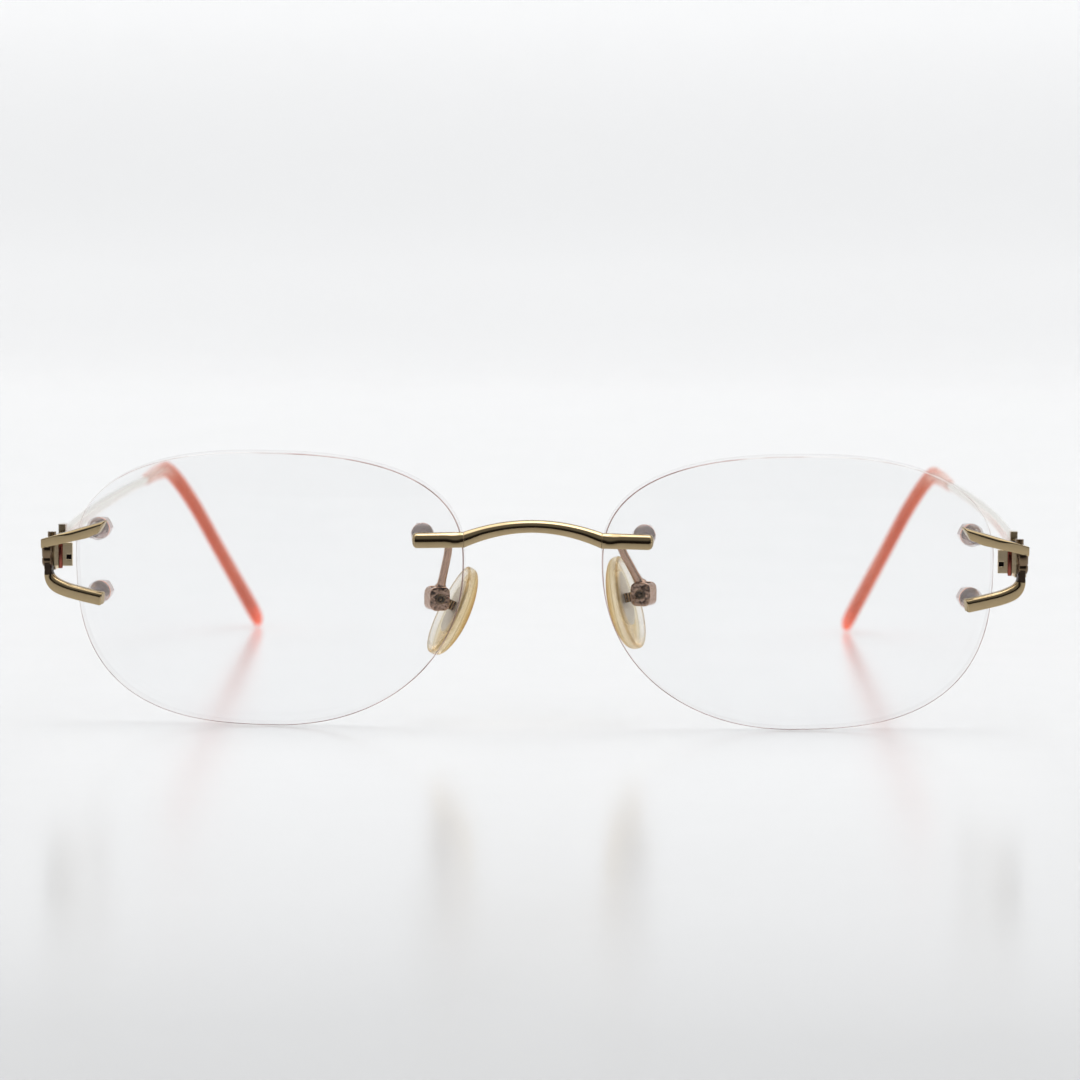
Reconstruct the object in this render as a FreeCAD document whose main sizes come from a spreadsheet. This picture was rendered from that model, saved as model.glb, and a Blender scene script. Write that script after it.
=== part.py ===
"""Rimless eyeglasses standing open on a table.

Millimetres. +Z up, the table top is z = 0, x = 0 is the plane of symmetry, the front faces -Y and the
temples run towards +Y. The origin lies on the table under the middle of the whole pair.
Left and right are the wearer's: the left side is at +X.
"""

import FreeCAD
import Part
import Sketcher

import math
import os

os.makedirs("parts", exist_ok=True)

Vector = FreeCAD.Vector
Placement = FreeCAD.Placement
Rotation = FreeCAD.Rotation
X_AXIS = Vector(1, 0, 0)
Y_AXIS = Vector(0, 1, 0)
Z_AXIS = Vector(0, 0, 1)

DIMENSIONS = [
    # Lenses: a soft oval whose widest line lies above the middle.
    ("lens_half_wide", 26.8),
    ("lens_belt_up", 3.83),
    ("lens_above_belt", 15.0),
    ("lens_below_belt", 23.3),
    ("lens_thick", 2.0),
    ("lens_base_radius", 106.0),
    ("lens_centre_out", 36.4),
    ("lens_centre_up", 19.08),
    ("lens_tilt", 8.0),
    ("lens_wrap", 4.5),
    ("front_y", -64.8),
    # Lens holes, from the lens centre.
    ("nose_hole_in", 21.5),
    ("nose_hole_up", 7.5),
    ("temple_hole_out", 24.6),
    ("temple_hole_up", 2.45),
    ("temple_hole_apart", 8.9),
    ("lens_hole_radius", 0.95),
    # Stack behind each lens hole.
    ("stud_radius", 0.6),
    ("stud_long", 4.85),
    ("bush_outer_radius", 0.9),
    ("bush_flange_radius", 1.6),
    ("bush_flange_thick", 0.5),
    ("temple_flange_lift", 0.1),
    ("washer_radius", 1.5),
    ("washer_thick", 0.3),
    ("nut_flat_to_flat", 2.6),
    ("nut_thick", 1.25),
    ("gap", 0.04),
    # Nose bridge.
    ("strap_in", 5.3),
    ("strap_out", 1.67),
    ("strap_high", 2.0),
    ("strap_thick", 1.25),
    ("strap_corner", 0.6),
    ("strap_edge", 0.42),
    ("strap_drop", 0.35),
    ("bridge_rise", 1.85),
    ("bridge_bow", 0.6),
    ("bridge_mid_high", 1.62),
    ("lug_wide", 0.7),
    ("lug_high", 1.5),
    ("lug_deep", 5.4),
    # Fork end pieces, in the plane of the two temple-side holes, from the point midway between them.
    ("fork_thick", 1.3),
    ("fork_edge", 0.36),
    ("fork_out", 6.9),
    ("fork_in", 2.5),
    ("fork_rake", 0.95),
    ("arm_top", 3.14),
    ("arm_slope", 0.339),
    ("arm_high_in", 1.85),
    ("arm_high_out", 1.3),
    ("spine_in", 5.55),
    ("spine_out", 7.0),
    ("spine_foot", -0.43),
    ("neck_in", 5.6),
    ("neck_out", 6.35),
    ("low_in", 1.72),
    ("low_top", -3.7),
    ("low_slope", 0.15),
    ("low_high", 1.8),
    ("low_outer_bend", 2.0),
    ("low_inner_bend", 0.8),
    ("spine_groove", 0.16),
    # Hinges.
    ("hinge_x", 66.65),
    ("hinge_y", 8.7),
    ("hinge_foot", 21.1),
    ("hinge_top", 25.2),
    ("barrel_radius", 0.95),
    ("pin_radius", 0.42),
    ("pin_play", 0.05),
    ("knuckle_play", 0.05),
    ("pin_head_radius", 0.58),
    ("pin_head_high", 0.95),
    ("leaf_thick", 0.9),
    ("leaf_reach", 3.1),
    ("leaf_front", 6.5),
    ("leaf_step", 0.55),
    ("window_foot", 22.55),
    ("window_side", 0.7),
    ("window_deep", 0.6),
    ("leaf_past_pin", 0.75),
    ("leaf_top_gap", 0.35),
    ("web_inset", 0.15),
    # Temples.
    ("bar_wide", 1.1),
    ("bar_high", 1.6),
    ("bar_corner", 0.3),
    ("bar_start", 10.2),
    ("bar_out", 0.55),
    ("bar_middle", 56.0),
    ("collar_back", 22.0),
    ("collar_foot", 22.9),
    ("collar_wide", 1.0),
    ("collar_long", 1.6),
    ("collar_high", 3.2),
    ("core_radius", 0.55),
    ("tip_wall_play", 0.05),
    # Nose pads.
    ("pad_long", 13.1),
    ("pad_wide", 7.2),
    ("pad_thick", 2.4),
    ("pad_dome_radius", 15.0),
    ("pad_splay", 23.0),
    ("pad_drop", 0.65),
    ("insert_long", 7.6),
    ("insert_wide", 3.6),
    ("insert_thick", 0.45),
    ("insert_deep", 0.55),
    ("stem_side", 1.3),
    ("stem_long", 2.15),
    ("stem_in_pad", 0.75),
    ("stem_past_screw", 0.7),
    ("box_wide", 2.9),
    ("box_high", 3.3),
    ("box_deep", 2.5),
    ("box_slot", 1.4),
    ("box_corner", 0.9),
    ("slot_back", 0.88),
    ("pad_screw_radius", 0.4),
    ("pad_screw_head_radius", 0.8),
    ("pad_screw_head_high", 0.4),
    ("pad_screw_sunk", 0.2),
    ("pad_arm_radius", 0.48),
    ("arm_shoulder_out", 11.05),
    ("arm_foot_in", 0.65),
    ("pad_back", 9.0),
    ("pad_left_out", 15.1),
    ("pad_left_up", 18.2),
    ("pad_left_lean", 15.0),
    ("pad_right_out", 13.4),
    ("pad_right_up", 17.35),
    ("pad_right_lean", 26.0),
]

doc = FreeCAD.newDocument("eyeglasses")
sheet = doc.addObject("Spreadsheet::Sheet", "dims")
for row, (name, number) in enumerate(DIMENSIONS, start=1):
    sheet.set(f"A{row}", name)
    sheet.set(f"B{row}", str(number))
    sheet.setAlias(f"B{row}", name)
doc.recompute()


def size(name):
    """Number held by a cell of the sheet."""
    return float(sheet.get(name))


# ---------------------------------------------------------------- frames

FRONT = Placement(
    Vector(0, size("front_y"), size("lens_centre_up")),
    Rotation(X_AXIS, size("lens_tilt")),
)
LENS = FRONT * Placement(Vector(size("lens_centre_out"), 0, 0), Rotation(Z_AXIS, size("lens_wrap")))


def on_lens(out, up):
    """Frame on the left lens's front surface: +Y runs into the lens, square to its surface."""
    radius = size("lens_base_radius")
    point = Vector(out, radius - math.sqrt(radius**2 - out**2 - up**2), up)
    inward = Vector(0, radius, 0) - point
    return LENS * Placement(point, Rotation(Y_AXIS, inward))


NOSE_HOLE = on_lens(-size("nose_hole_in"), size("nose_hole_up"))
TEMPLE_HOLES = on_lens(size("temple_hole_out"), size("temple_hole_up"))
HALF_APART = size("temple_hole_apart") / 2
WORLD = Placement(Vector(0, size("front_y"), 0), Rotation())


def at(x, y, z):
    """Placement that only moves."""
    return Placement(Vector(x, y, z), Rotation())


# ---------------------------------------------------------------- building blocks

nodes = []


def node(thing, label):
    """Mark an object as a finished sub-part."""
    thing.Label = label
    nodes.append(thing)
    return thing


def mirrored(thing, label):
    """The same sub-part on the wearer's right side."""
    twin = doc.addObject("Part::Mirroring", "twin_" + label)
    twin.Source = thing
    twin.Normal = (1, 0, 0)
    twin.Base = (0, 0, 0)
    return node(twin, label)


def bind(thing, **formulas):
    """Bind properties of an object to formulas on the sheet."""
    for field, formula in formulas.items():
        thing.setExpression(field, formula)
    return thing


def cylinder(name, frame, radius, height):
    """Cylinder whose axis is the frame's +Y."""
    made = doc.addObject("Part::Cylinder", name)
    bind(made, Radius=radius, Height=height)
    made.Placement = frame * Placement(Vector(), Rotation(X_AXIS, -90))
    return made


def upright(name, frame, radius, height):
    """Cylinder whose axis is the frame's +Z."""
    made = doc.addObject("Part::Cylinder", name)
    bind(made, Radius=radius, Height=height)
    made.Placement = frame
    return made


def block(name, frame, length, width, height):
    """Box with one corner at the frame's origin."""
    made = doc.addObject("Part::Box", name)
    bind(made, Length=length, Width=width, Height=height)
    made.Placement = frame
    return made


def fuse(name, things):
    made = doc.addObject("Part::MultiFuse", name)
    made.Shapes = things
    made.Refine = True
    return made


def cut(name, base, tool):
    made = doc.addObject("Part::Cut", name)
    made.Base = base
    made.Tool = tool
    return made


def common(name, first, second):
    made = doc.addObject("Part::MultiCommon", name)
    made.Shapes = [first, second]
    return made


def group(name, things):
    """Separate solids of the same kind held in one sub-part."""
    made = doc.addObject("Part::Compound", name)
    made.Links = things
    return made


def held(name, shape):
    """Feature that holds a computed wire or solid."""
    made = doc.addObject("Part::Feature", name)
    made.Shape = shape
    return made


def origin_plane(body, role):
    return [item for item in body.Origin.OriginFeatures if item.Role == role][0]


def outline(body, name, corners, plane="XZ_Plane"):
    """Closed sketch outline whose every corner is bound to a pair of formulas."""
    sketch = body.newObject("Sketcher::SketchObject", name)
    sketch.AttachmentSupport = [(origin_plane(body, plane), "")]
    sketch.MapMode = "FlatFace"
    points = [Vector(float(body.evalExpression(a)), float(body.evalExpression(b)), 0) for a, b in corners]
    count = len(points)
    for i in range(count):
        sketch.addGeometry(Part.LineSegment(points[i], points[(i + 1) % count]), False)
    for i in range(count):
        sketch.addConstraint(Sketcher.Constraint("Coincident", i, 2, (i + 1) % count, 1))
    for i, (across, up) in enumerate(corners):
        first = sketch.addConstraint(Sketcher.Constraint("DistanceX", i, 1, points[i].x))
        sketch.setExpression(f"Constraints[{first}]", across)
        second = sketch.addConstraint(Sketcher.Constraint("DistanceY", i, 1, points[i].y))
        sketch.setExpression(f"Constraints[{second}]", up)
    return sketch


def padded(body, name, sketch, length):
    made = body.newObject("PartDesign::Pad", name)
    made.Profile = sketch
    made.setExpression("Length", length)
    doc.recompute()
    return made


def edges_where(shape, wanted):
    """Names of the edges whose middle point passes a test."""
    names = []
    for i, edge in enumerate(shape.Edges, start=1):
        middle = edge.valueAt((edge.FirstParameter + edge.LastParameter) / 2)
        if wanted(edge, middle):
            names.append(f"Edge{i}")
    return names


def rounded(body, name, base, wanted, radius):
    """Fillet of the edges that pass a test."""
    made = body.newObject("PartDesign::Fillet", name)
    made.Base = (base, edges_where(base.Shape, wanted))
    made.setExpression("Radius", radius)
    doc.recompute()
    return made


def bar_wire(wide, high, corner, frame):
    """Rounded rectangle in the frame's XY plane, centred on its origin."""
    a = wide / 2
    b = high / 2
    flat_a = a - corner
    flat_b = b - corner
    diagonal = corner * math.sqrt(0.5)
    edges = []
    corners = [(1, 1), (-1, 1), (-1, -1), (1, -1)]
    for i, (sx, sy) in enumerate(corners):
        on_side = Vector(sx * a, sy * flat_b, 0)
        on_end = Vector(sx * flat_a, sy * b, 0)
        middle = Vector(sx * (flat_a + diagonal), sy * (flat_b + diagonal), 0)
        start, stop = (on_side, on_end) if sx * sy > 0 else (on_end, on_side)
        edges.append(Part.Arc(start, middle, stop).toShape())
        nx, ny = corners[(i + 1) % 4]
        reach = Vector(nx * flat_a, ny * b, 0) if sy == ny else Vector(nx * a, ny * flat_b, 0)
        edges.append(Part.LineSegment(stop, reach).toShape())
    wire = Part.Wire(edges)
    wire.Placement = frame
    return wire


def loft(name, wires):
    """Smooth solid through a row of wires."""
    sections = [held(f"{name}_section_{i}", wire) for i, wire in enumerate(wires)]
    made = doc.addObject("Part::Loft", name)
    made.Sections = sections
    made.Solid = True
    made.Ruled = False
    return made


def smooth_curve(points):
    curve = Part.BSplineCurve()
    curve.interpolate([Vector(*p) for p in points])
    return curve


def wire_rod(name, curve, radius, frame):
    """Round rod swept along a curve."""
    spine = held(name + "_spine", curve.toShape())
    ring = doc.addObject("Part::Circle", name + "_ring")
    ring.setExpression("Radius", radius)
    start = curve.FirstParameter
    ring.Placement = Placement(curve.value(start), Rotation(Z_AXIS, curve.tangent(start)[0]))
    made = doc.addObject("Part::Sweep", name)
    made.Sections = [ring]
    made.Spine = (spine, ["Edge1"])
    made.Solid = True
    made.Frenet = False
    made.Placement = frame
    return made


# ---------------------------------------------------------------- lenses

OUTLINE_STEPS = 72
ROUNDNESS = {(1, 1): 2.33, (-1, 1): 2.48, (1, -1): 2.83, (-1, -1): 2.16}


def lens_outline():
    """Soft oval: one super-ellipse above the widest line and a deeper one below it."""
    points = []
    for i in range(OUTLINE_STEPS):
        angle = 2 * math.pi * i / OUTLINE_STEPS
        side = 1 if math.cos(angle) >= 0 else -1
        half = 1 if math.sin(angle) >= 0 else -1
        power = ROUNDNESS[(side, half)]
        rise = size("lens_above_belt") if half > 0 else size("lens_below_belt")
        out = side * size("lens_half_wide") * abs(math.cos(angle)) ** (2 / power)
        up = half * rise * abs(math.sin(angle)) ** (2 / power)
        points.append(Vector(out, 0, size("lens_belt_up") + up))
    curve = Part.BSplineCurve()
    curve.interpolate(points, PeriodicFlag=True)
    return Part.Wire([curve.toShape()])


def make_lens():
    """Curved lens of even thickness with one hole on the nose side and two on the temple side."""
    edge = held("lens_edge", lens_outline())
    prism = doc.addObject("Part::Extrusion", "lens_prism")
    prism.Base = edge
    prism.DirMode = "Custom"
    prism.Dir = Y_AXIS
    bind(prism, LengthFwd="dims.lens_thick * 6", LengthRev="dims.lens_thick")
    prism.Solid = True
    front = doc.addObject("Part::Sphere", "lens_front_sphere")
    bind(front, Radius="dims.lens_base_radius")
    front.Placement = at(0, size("lens_base_radius"), 0)
    back = doc.addObject("Part::Sphere", "lens_back_sphere")
    bind(back, Radius="dims.lens_base_radius - dims.lens_thick")
    back.Placement = at(0, size("lens_base_radius"), 0)
    blank = cut("lens_blank", common("lens_cap", prism, front), back)
    to_lens = LENS.inverse()
    drills = []
    for i, frame in enumerate([NOSE_HOLE, temple_hole(1), temple_hole(-1)]):
        start = to_lens * frame * at(0, -1, 0)
        drills.append(cylinder(f"lens_drill_{i}", start, "dims.lens_hole_radius", "dims.lens_thick + 3"))
    drilled = cut("lens_drilled", blank, fuse("lens_drills", drills))
    drilled.Placement = LENS
    return drilled


def temple_hole(side):
    """Frame of the upper (1) or lower (-1) hole on the temple side."""
    return TEMPLE_HOLES * at(0, 0, side * HALF_APART)


HOLES = [NOSE_HOLE, temple_hole(1), temple_hole(-1)]


# ---------------------------------------------------------------- stack behind each hole

def make_studs():
    """Three threaded studs, one through each lens hole."""
    studs = [
        cylinder(f"stud_{i}", frame, "dims.stud_radius", "dims.stud_long")
        for i, frame in enumerate(HOLES)
    ]
    return group("studs", studs)


def ring(name, frame, radius, hole, thick):
    """Flat ring whose axis is the frame's +Y."""
    disc = cylinder(name + "_disc", frame, radius, thick)
    bore = cylinder(name + "_bore", frame * at(0, -1, 0), hole, thick + " + 2")
    return cut(name, disc, bore)


def make_bushes():
    """Three clear bushes: a sleeve inside the lens hole and a flange behind the lens."""
    bushes = []
    hole = "dims.stud_radius + dims.gap"
    for i, frame in enumerate(HOLES):
        sleeve = cylinder(f"bush_sleeve_{i}", frame, "dims.bush_outer_radius", "dims.lens_thick + 0.3")
        behind = frame * at(0, size("lens_thick") + 2 * size("gap") + (size("temple_flange_lift") if i else 0), 0)
        flange = cylinder(f"bush_flange_{i}", behind, "dims.bush_flange_radius", "dims.bush_flange_thick")
        whole = fuse(f"bush_whole_{i}", [sleeve, flange])
        bore = cylinder(f"bush_bore_{i}", frame * at(0, -1, 0), hole, "dims.lens_thick + 4")
        bushes.append(cut(f"bush_{i}", whole, bore))
    return group("bushes", bushes)


WASHER_Y = size("lens_thick") + 3 * size("gap") + size("temple_flange_lift") + size("bush_flange_thick")
NUT_Y = WASHER_Y + size("washer_thick") + size("gap")


def make_washers():
    """Three metal washers behind the bush flanges."""
    rings = [
        ring(f"washer_{i}", frame * at(0, WASHER_Y, 0), "dims.washer_radius",
             "dims.stud_radius + dims.gap", "dims.washer_thick")
        for i, frame in enumerate(HOLES)
    ]
    return group("washers", rings)


def make_nuts():
    """Three hexagon nuts, each with a domed crown turned on it."""
    nuts = []
    for i, frame in enumerate(HOLES):
        here = frame * at(0, NUT_Y, 0) * Placement(Vector(), Rotation(X_AXIS, -90))
        prism = doc.addObject("Part::Prism", f"nut_prism_{i}")
        prism.Polygon = 6
        bind(prism, Circumradius="dims.nut_flat_to_flat / sqrt(3)", Height="dims.nut_thick")
        prism.Placement = here
        crown = doc.addObject("Part::Cone", f"nut_crown_{i}")
        bind(
            crown,
            Radius1="dims.nut_flat_to_flat * 0.5 + dims.nut_thick",
            Radius2="dims.nut_flat_to_flat * 0.5",
            Height="dims.nut_thick",
        )
        crown.Placement = here
        shaped = common(f"nut_shaped_{i}", prism, crown)
        bore = cylinder(f"nut_bore_{i}", frame, "dims.stud_radius + dims.gap", "dims.stud_long + 2")
        nuts.append(cut(f"nut_{i}", shaped, bore))
    return group("nuts", nuts)


# ---------------------------------------------------------------- nose bridge

def make_strap():
    """Polished strap in front of the lens, rounded at its outer end."""
    body = doc.addObject("PartDesign::Body", "strap_body")
    half = "dims.strap_high / 2"
    sketch = outline(body, "strap_outline", [
        ("-dims.strap_in", "-" + half),
        ("dims.strap_out", "-" + half),
        ("dims.strap_out", half),
        ("-dims.strap_in", half),
    ])
    pad = padded(body, "strap_pad", sketch, "dims.strap_thick")
    outer = size("strap_out")
    inner = -size("strap_in")
    corners = rounded(
        body, "strap_corners", pad,
        lambda edge, mid: mid.x > outer - 0.01 and abs(abs(mid.z) - size("strap_high") / 2) < 0.01,
        "dims.strap_corner",
    )
    rounded(
        body, "strap_soft_edge", corners,
        lambda edge, mid: mid.y < -size("strap_thick") + 0.01 and mid.x > inner + 0.01,
        "dims.strap_edge",
    )
    body.Placement = NOSE_HOLE * at(0, -size("gap"), -size("strap_drop"))
    return body


BRIDGE_STATIONS = 9


def make_bridge():
    """Arched bar between the straps, with a lug at each end that passes the lens edge to the pad arm."""
    thick = size("strap_thick")
    seam = NOSE_HOLE * at(-size("strap_in") - size("gap"), -size("gap") - thick / 2, -size("strap_drop"))
    local = WORLD.inverse() * seam
    end_x = local.Base.x
    end_y = local.Base.y
    end_z = local.Base.z
    end_turn = Vector(local.Rotation.multVec(X_AXIS))
    turn_z = math.degrees(math.atan2(end_turn.y, end_turn.x))
    wires = []
    for i in range(BRIDGE_STATIONS):
        share = -1 + 2 * i / (BRIDGE_STATIONS - 1)
        lift = 1 - share**2
        high = size("strap_high") + (size("bridge_mid_high") - size("strap_high")) * lift
        turned = Rotation(Z_AXIS, turn_z * share) * Rotation(X_AXIS, size("lens_tilt") / 2)
        place = Placement(
            Vector(
                end_x * share,
                end_y + size("bridge_bow") * lift,
                end_z + size("bridge_rise") * lift,
            ),
            turned * Rotation(Vector(0, 1, 0), Vector(0, 0, 1), Vector(1, 0, 0), "ZXY"),
        )
        wires.append(bar_wire(thick, high, size("strap_edge"), WORLD * place))
    arch = loft("bridge_arch", wires)
    lug_x = end_x - size("gap") - size("lug_wide")
    lugs = []
    for name, x in (("left", lug_x), ("right", -lug_x - size("lug_wide"))):
        place = WORLD * at(x, end_y, end_z - size("lug_high") / 2)
        lugs.append(block(f"bridge_lug_{name}", place, "dims.lug_wide", "dims.lug_deep", "dims.lug_high"))
    return fuse("bridge_whole", [arch] + lugs)


def lug_end():
    """Point on the back of the left lug where the pad arm is brazed."""
    thick = size("strap_thick")
    seam = WORLD.inverse() * NOSE_HOLE * at(-size("strap_in"), -size("gap") - thick / 2, -size("strap_drop"))
    x = seam.Base.x - size("gap") * 2 - size("lug_wide") / 2
    return Vector(x, seam.Base.y + size("lug_deep"), seam.Base.z)


# ---------------------------------------------------------------- nose pads

def pad_frame(side, out, up, lean):
    """Frame at a pad screw: +Y along the screw towards the back, +X away from the nose."""
    turn = Rotation(Z_AXIS, -side * size("pad_splay")) * Rotation(Y_AXIS, -side * lean)
    return WORLD * Placement(Vector(side * out, size("pad_back"), up), turn)


PAD_TAPER = 0.16


def pad_outline(long, wide, steps=36):
    """Egg outline in the YZ plane, narrower at the top."""
    points = []
    for i in range(steps):
        angle = 2 * math.pi * i / steps
        taper = 1 - PAD_TAPER * math.sin(angle)
        points.append(Vector(0, wide / 2 * math.cos(angle) * taper, long / 2 * math.sin(angle)))
    curve = Part.BSplineCurve()
    curve.interpolate(points, PeriodicFlag=True)
    return Part.Wire([curve.toShape()])


def make_pad_set(side, word):
    """Arm, box, screw, metal insert and soft pad on one side."""
    out = size(f"pad_{word}_out")
    up = size(f"pad_{word}_up")
    lean = size(f"pad_{word}_lean")
    still = pad_frame(side, out, up, 0)
    rocked = pad_frame(side, out, up, lean)

    # Box: an open-ended cup whose slot faces the nose.
    body = doc.addObject("PartDesign::Body", f"box_body_{word}")
    wide = "dims.box_wide / 2"
    high = "dims.box_high / 2"
    sketch = outline(body, f"box_outline_{word}", [
        ("-" + wide, "-" + high),
        (wide, "-" + high),
        (wide, high),
        ("-" + wide, high),
    ])
    slab = padded(body, f"box_slab_{word}", sketch, "dims.box_deep")
    rounded(
        body, f"box_round_{word}", slab,
        lambda edge, mid: abs(mid.y + size("box_deep") / 2) < 0.01 and edge.Length > 1,
        "dims.box_corner",
    )
    body.Placement = still * at(0, size("box_deep") / 2, 0)
    slot_x = -size("box_wide") / 2 - 1 if side > 0 else -size("slot_back")
    slot = block(
        f"box_slot_{word}",
        still * at(slot_x, -size("box_slot") / 2, -size("box_high")),
        "dims.box_wide / 2 + 1 + dims.slot_back", "dims.box_slot", "dims.box_high * 2",
    )
    screw_hole = cylinder(
        f"box_hole_{word}", still * at(0, -size("box_deep"), 0), "dims.pad_screw_radius + dims.gap",
        "dims.box_deep * 2",
    )
    node(cut(f"box_{word}", body, fuse(f"box_tools_{word}", [slot, screw_hole])), f"pad_box_{word}")

    # Screw through box and stem.
    shank = cylinder(
        f"pad_shank_{word}", still * at(0, -size("box_deep") / 2 - size("pad_screw_sunk"), 0),
        "dims.pad_screw_radius", "dims.box_deep + 0.35",
    )
    head = cylinder(
        f"pad_head_{word}",
        still * at(0, -size("box_deep") / 2 - size("pad_screw_head_high") - size("gap"), 0),
        "dims.pad_screw_head_radius", "dims.pad_screw_head_high",
    )
    driver = block(
        f"pad_driver_{word}", still * at(-1, -size("box_deep") / 2 - 0.6, -0.1), "2", "0.3", "0.2",
    )
    node(cut(f"pad_screw_{word}", fuse(f"pad_screw_blank_{word}", [shank, head]), driver), f"pad_screw_{word}")

    # Insert: oval plate moulded into the pad, on a stem that the screw holds.
    plate_x = -side * size("stem_long")
    plate_frame = rocked * at(plate_x, 0, 0)
    pad_place = plate_frame * at(0, 0, -size("pad_drop"))
    edge = held(f"insert_edge_{word}", pad_outline(size("insert_long"), size("insert_wide")))
    plate = doc.addObject("Part::Extrusion", f"insert_plate_{word}")
    plate.Base = edge
    plate.DirMode = "Custom"
    plate.Dir = X_AXIS * -side
    bind(plate, LengthFwd="dims.insert_thick")
    plate.Solid = True
    plate.Placement = plate_frame * at(-side * size("insert_deep"), 0, 0)
    stem = block(
        f"insert_stem_{word}",
        rocked * at(
            -size("stem_long") - size("stem_in_pad") if side > 0 else -size("stem_past_screw"),
            -size("stem_side") / 2,
            -size("stem_side") / 2,
        ),
        "dims.stem_long + dims.stem_in_pad + dims.stem_past_screw", "dims.stem_side", "dims.stem_side",
    )
    stem_hole = cylinder(
        f"insert_hole_{word}", rocked * at(0, -3, 0), "dims.pad_screw_radius + dims.pin_play", "6",
    )
    insert = fuse(f"insert_whole_{word}", [plate, stem])
    node(cut(f"insert_{word}", insert, stem_hole), f"pad_insert_{word}")

    # Soft pad around the insert.
    rim = held(f"pad_edge_{word}", pad_outline(size("pad_long"), size("pad_wide")))
    prism = doc.addObject("Part::Extrusion", f"pad_prism_{word}")
    prism.Base = rim
    prism.DirMode = "Custom"
    prism.Dir = X_AXIS * -side
    bind(prism, LengthFwd="dims.pad_thick")
    prism.Solid = True
    dome = doc.addObject("Part::Sphere", f"pad_dome_{word}")
    bind(dome, Radius="dims.pad_dome_radius")
    dome.Placement = at(side * (size("pad_dome_radius") - size("pad_thick")), 0, 0)
    shell = common(f"pad_shell_{word}", prism, dome)
    shell.Placement = pad_place
    pocket_edge = held(
        f"pocket_edge_{word}",
        pad_outline(size("insert_long") + 2 * size("gap"), size("insert_wide") + 2 * size("gap")),
    )
    pocket = doc.addObject("Part::Extrusion", f"pocket_{word}")
    pocket.Base = pocket_edge
    pocket.DirMode = "Custom"
    pocket.Dir = X_AXIS * -side
    bind(pocket, LengthFwd="dims.insert_thick + 2 * dims.gap")
    pocket.Solid = True
    pocket.Placement = plate_frame * at(-side * (size("insert_deep") - size("gap")), 0, 0)
    play = size("gap")
    stem_room = block(
        f"stem_room_{word}",
        rocked * at(
            -(size("stem_long") + size("stem_in_pad") if side > 0 else size("stem_past_screw")) - play,
            -size("stem_side") / 2 - play,
            -size("stem_side") / 2 - play,
        ),
        "dims.stem_long + dims.stem_in_pad + dims.stem_past_screw + 2 * dims.gap",
        "dims.stem_side + 2 * dims.gap", "dims.stem_side + 2 * dims.gap",
    )
    hollow = fuse(f"pad_hollow_{word}", [pocket, stem_room])
    node(cut(f"pad_{word}", shell, hollow), f"nose_pad_{word}")

    # Arm: bent wire from the bridge lug, out behind the lens and down to the box.
    start = lug_end()
    sx = side * start.x
    box_side = side * out
    end_y = size("pad_back")
    top = up + size("box_high") / 2 + size("gap")
    foot = box_side - side * size("arm_foot_in")
    shoulder = side * size("arm_shoulder_out")
    curve = smooth_curve([
        (sx, start.y + size("gap"), start.z),
        (sx + side * 0.7, start.y + 1.2, start.z - 0.3),
        (shoulder, start.y + 2.0, start.z - 1.1),
        (shoulder + (foot - shoulder) * 0.45, end_y - 0.8, (start.z + top) / 2 - 0.4),
        (foot, end_y, top),
    ])
    node(wire_rod(f"pad_arm_{word}", curve, "dims.pad_arm_radius", WORLD), f"pad_arm_{word}")


# ---------------------------------------------------------------- fork end pieces

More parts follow.
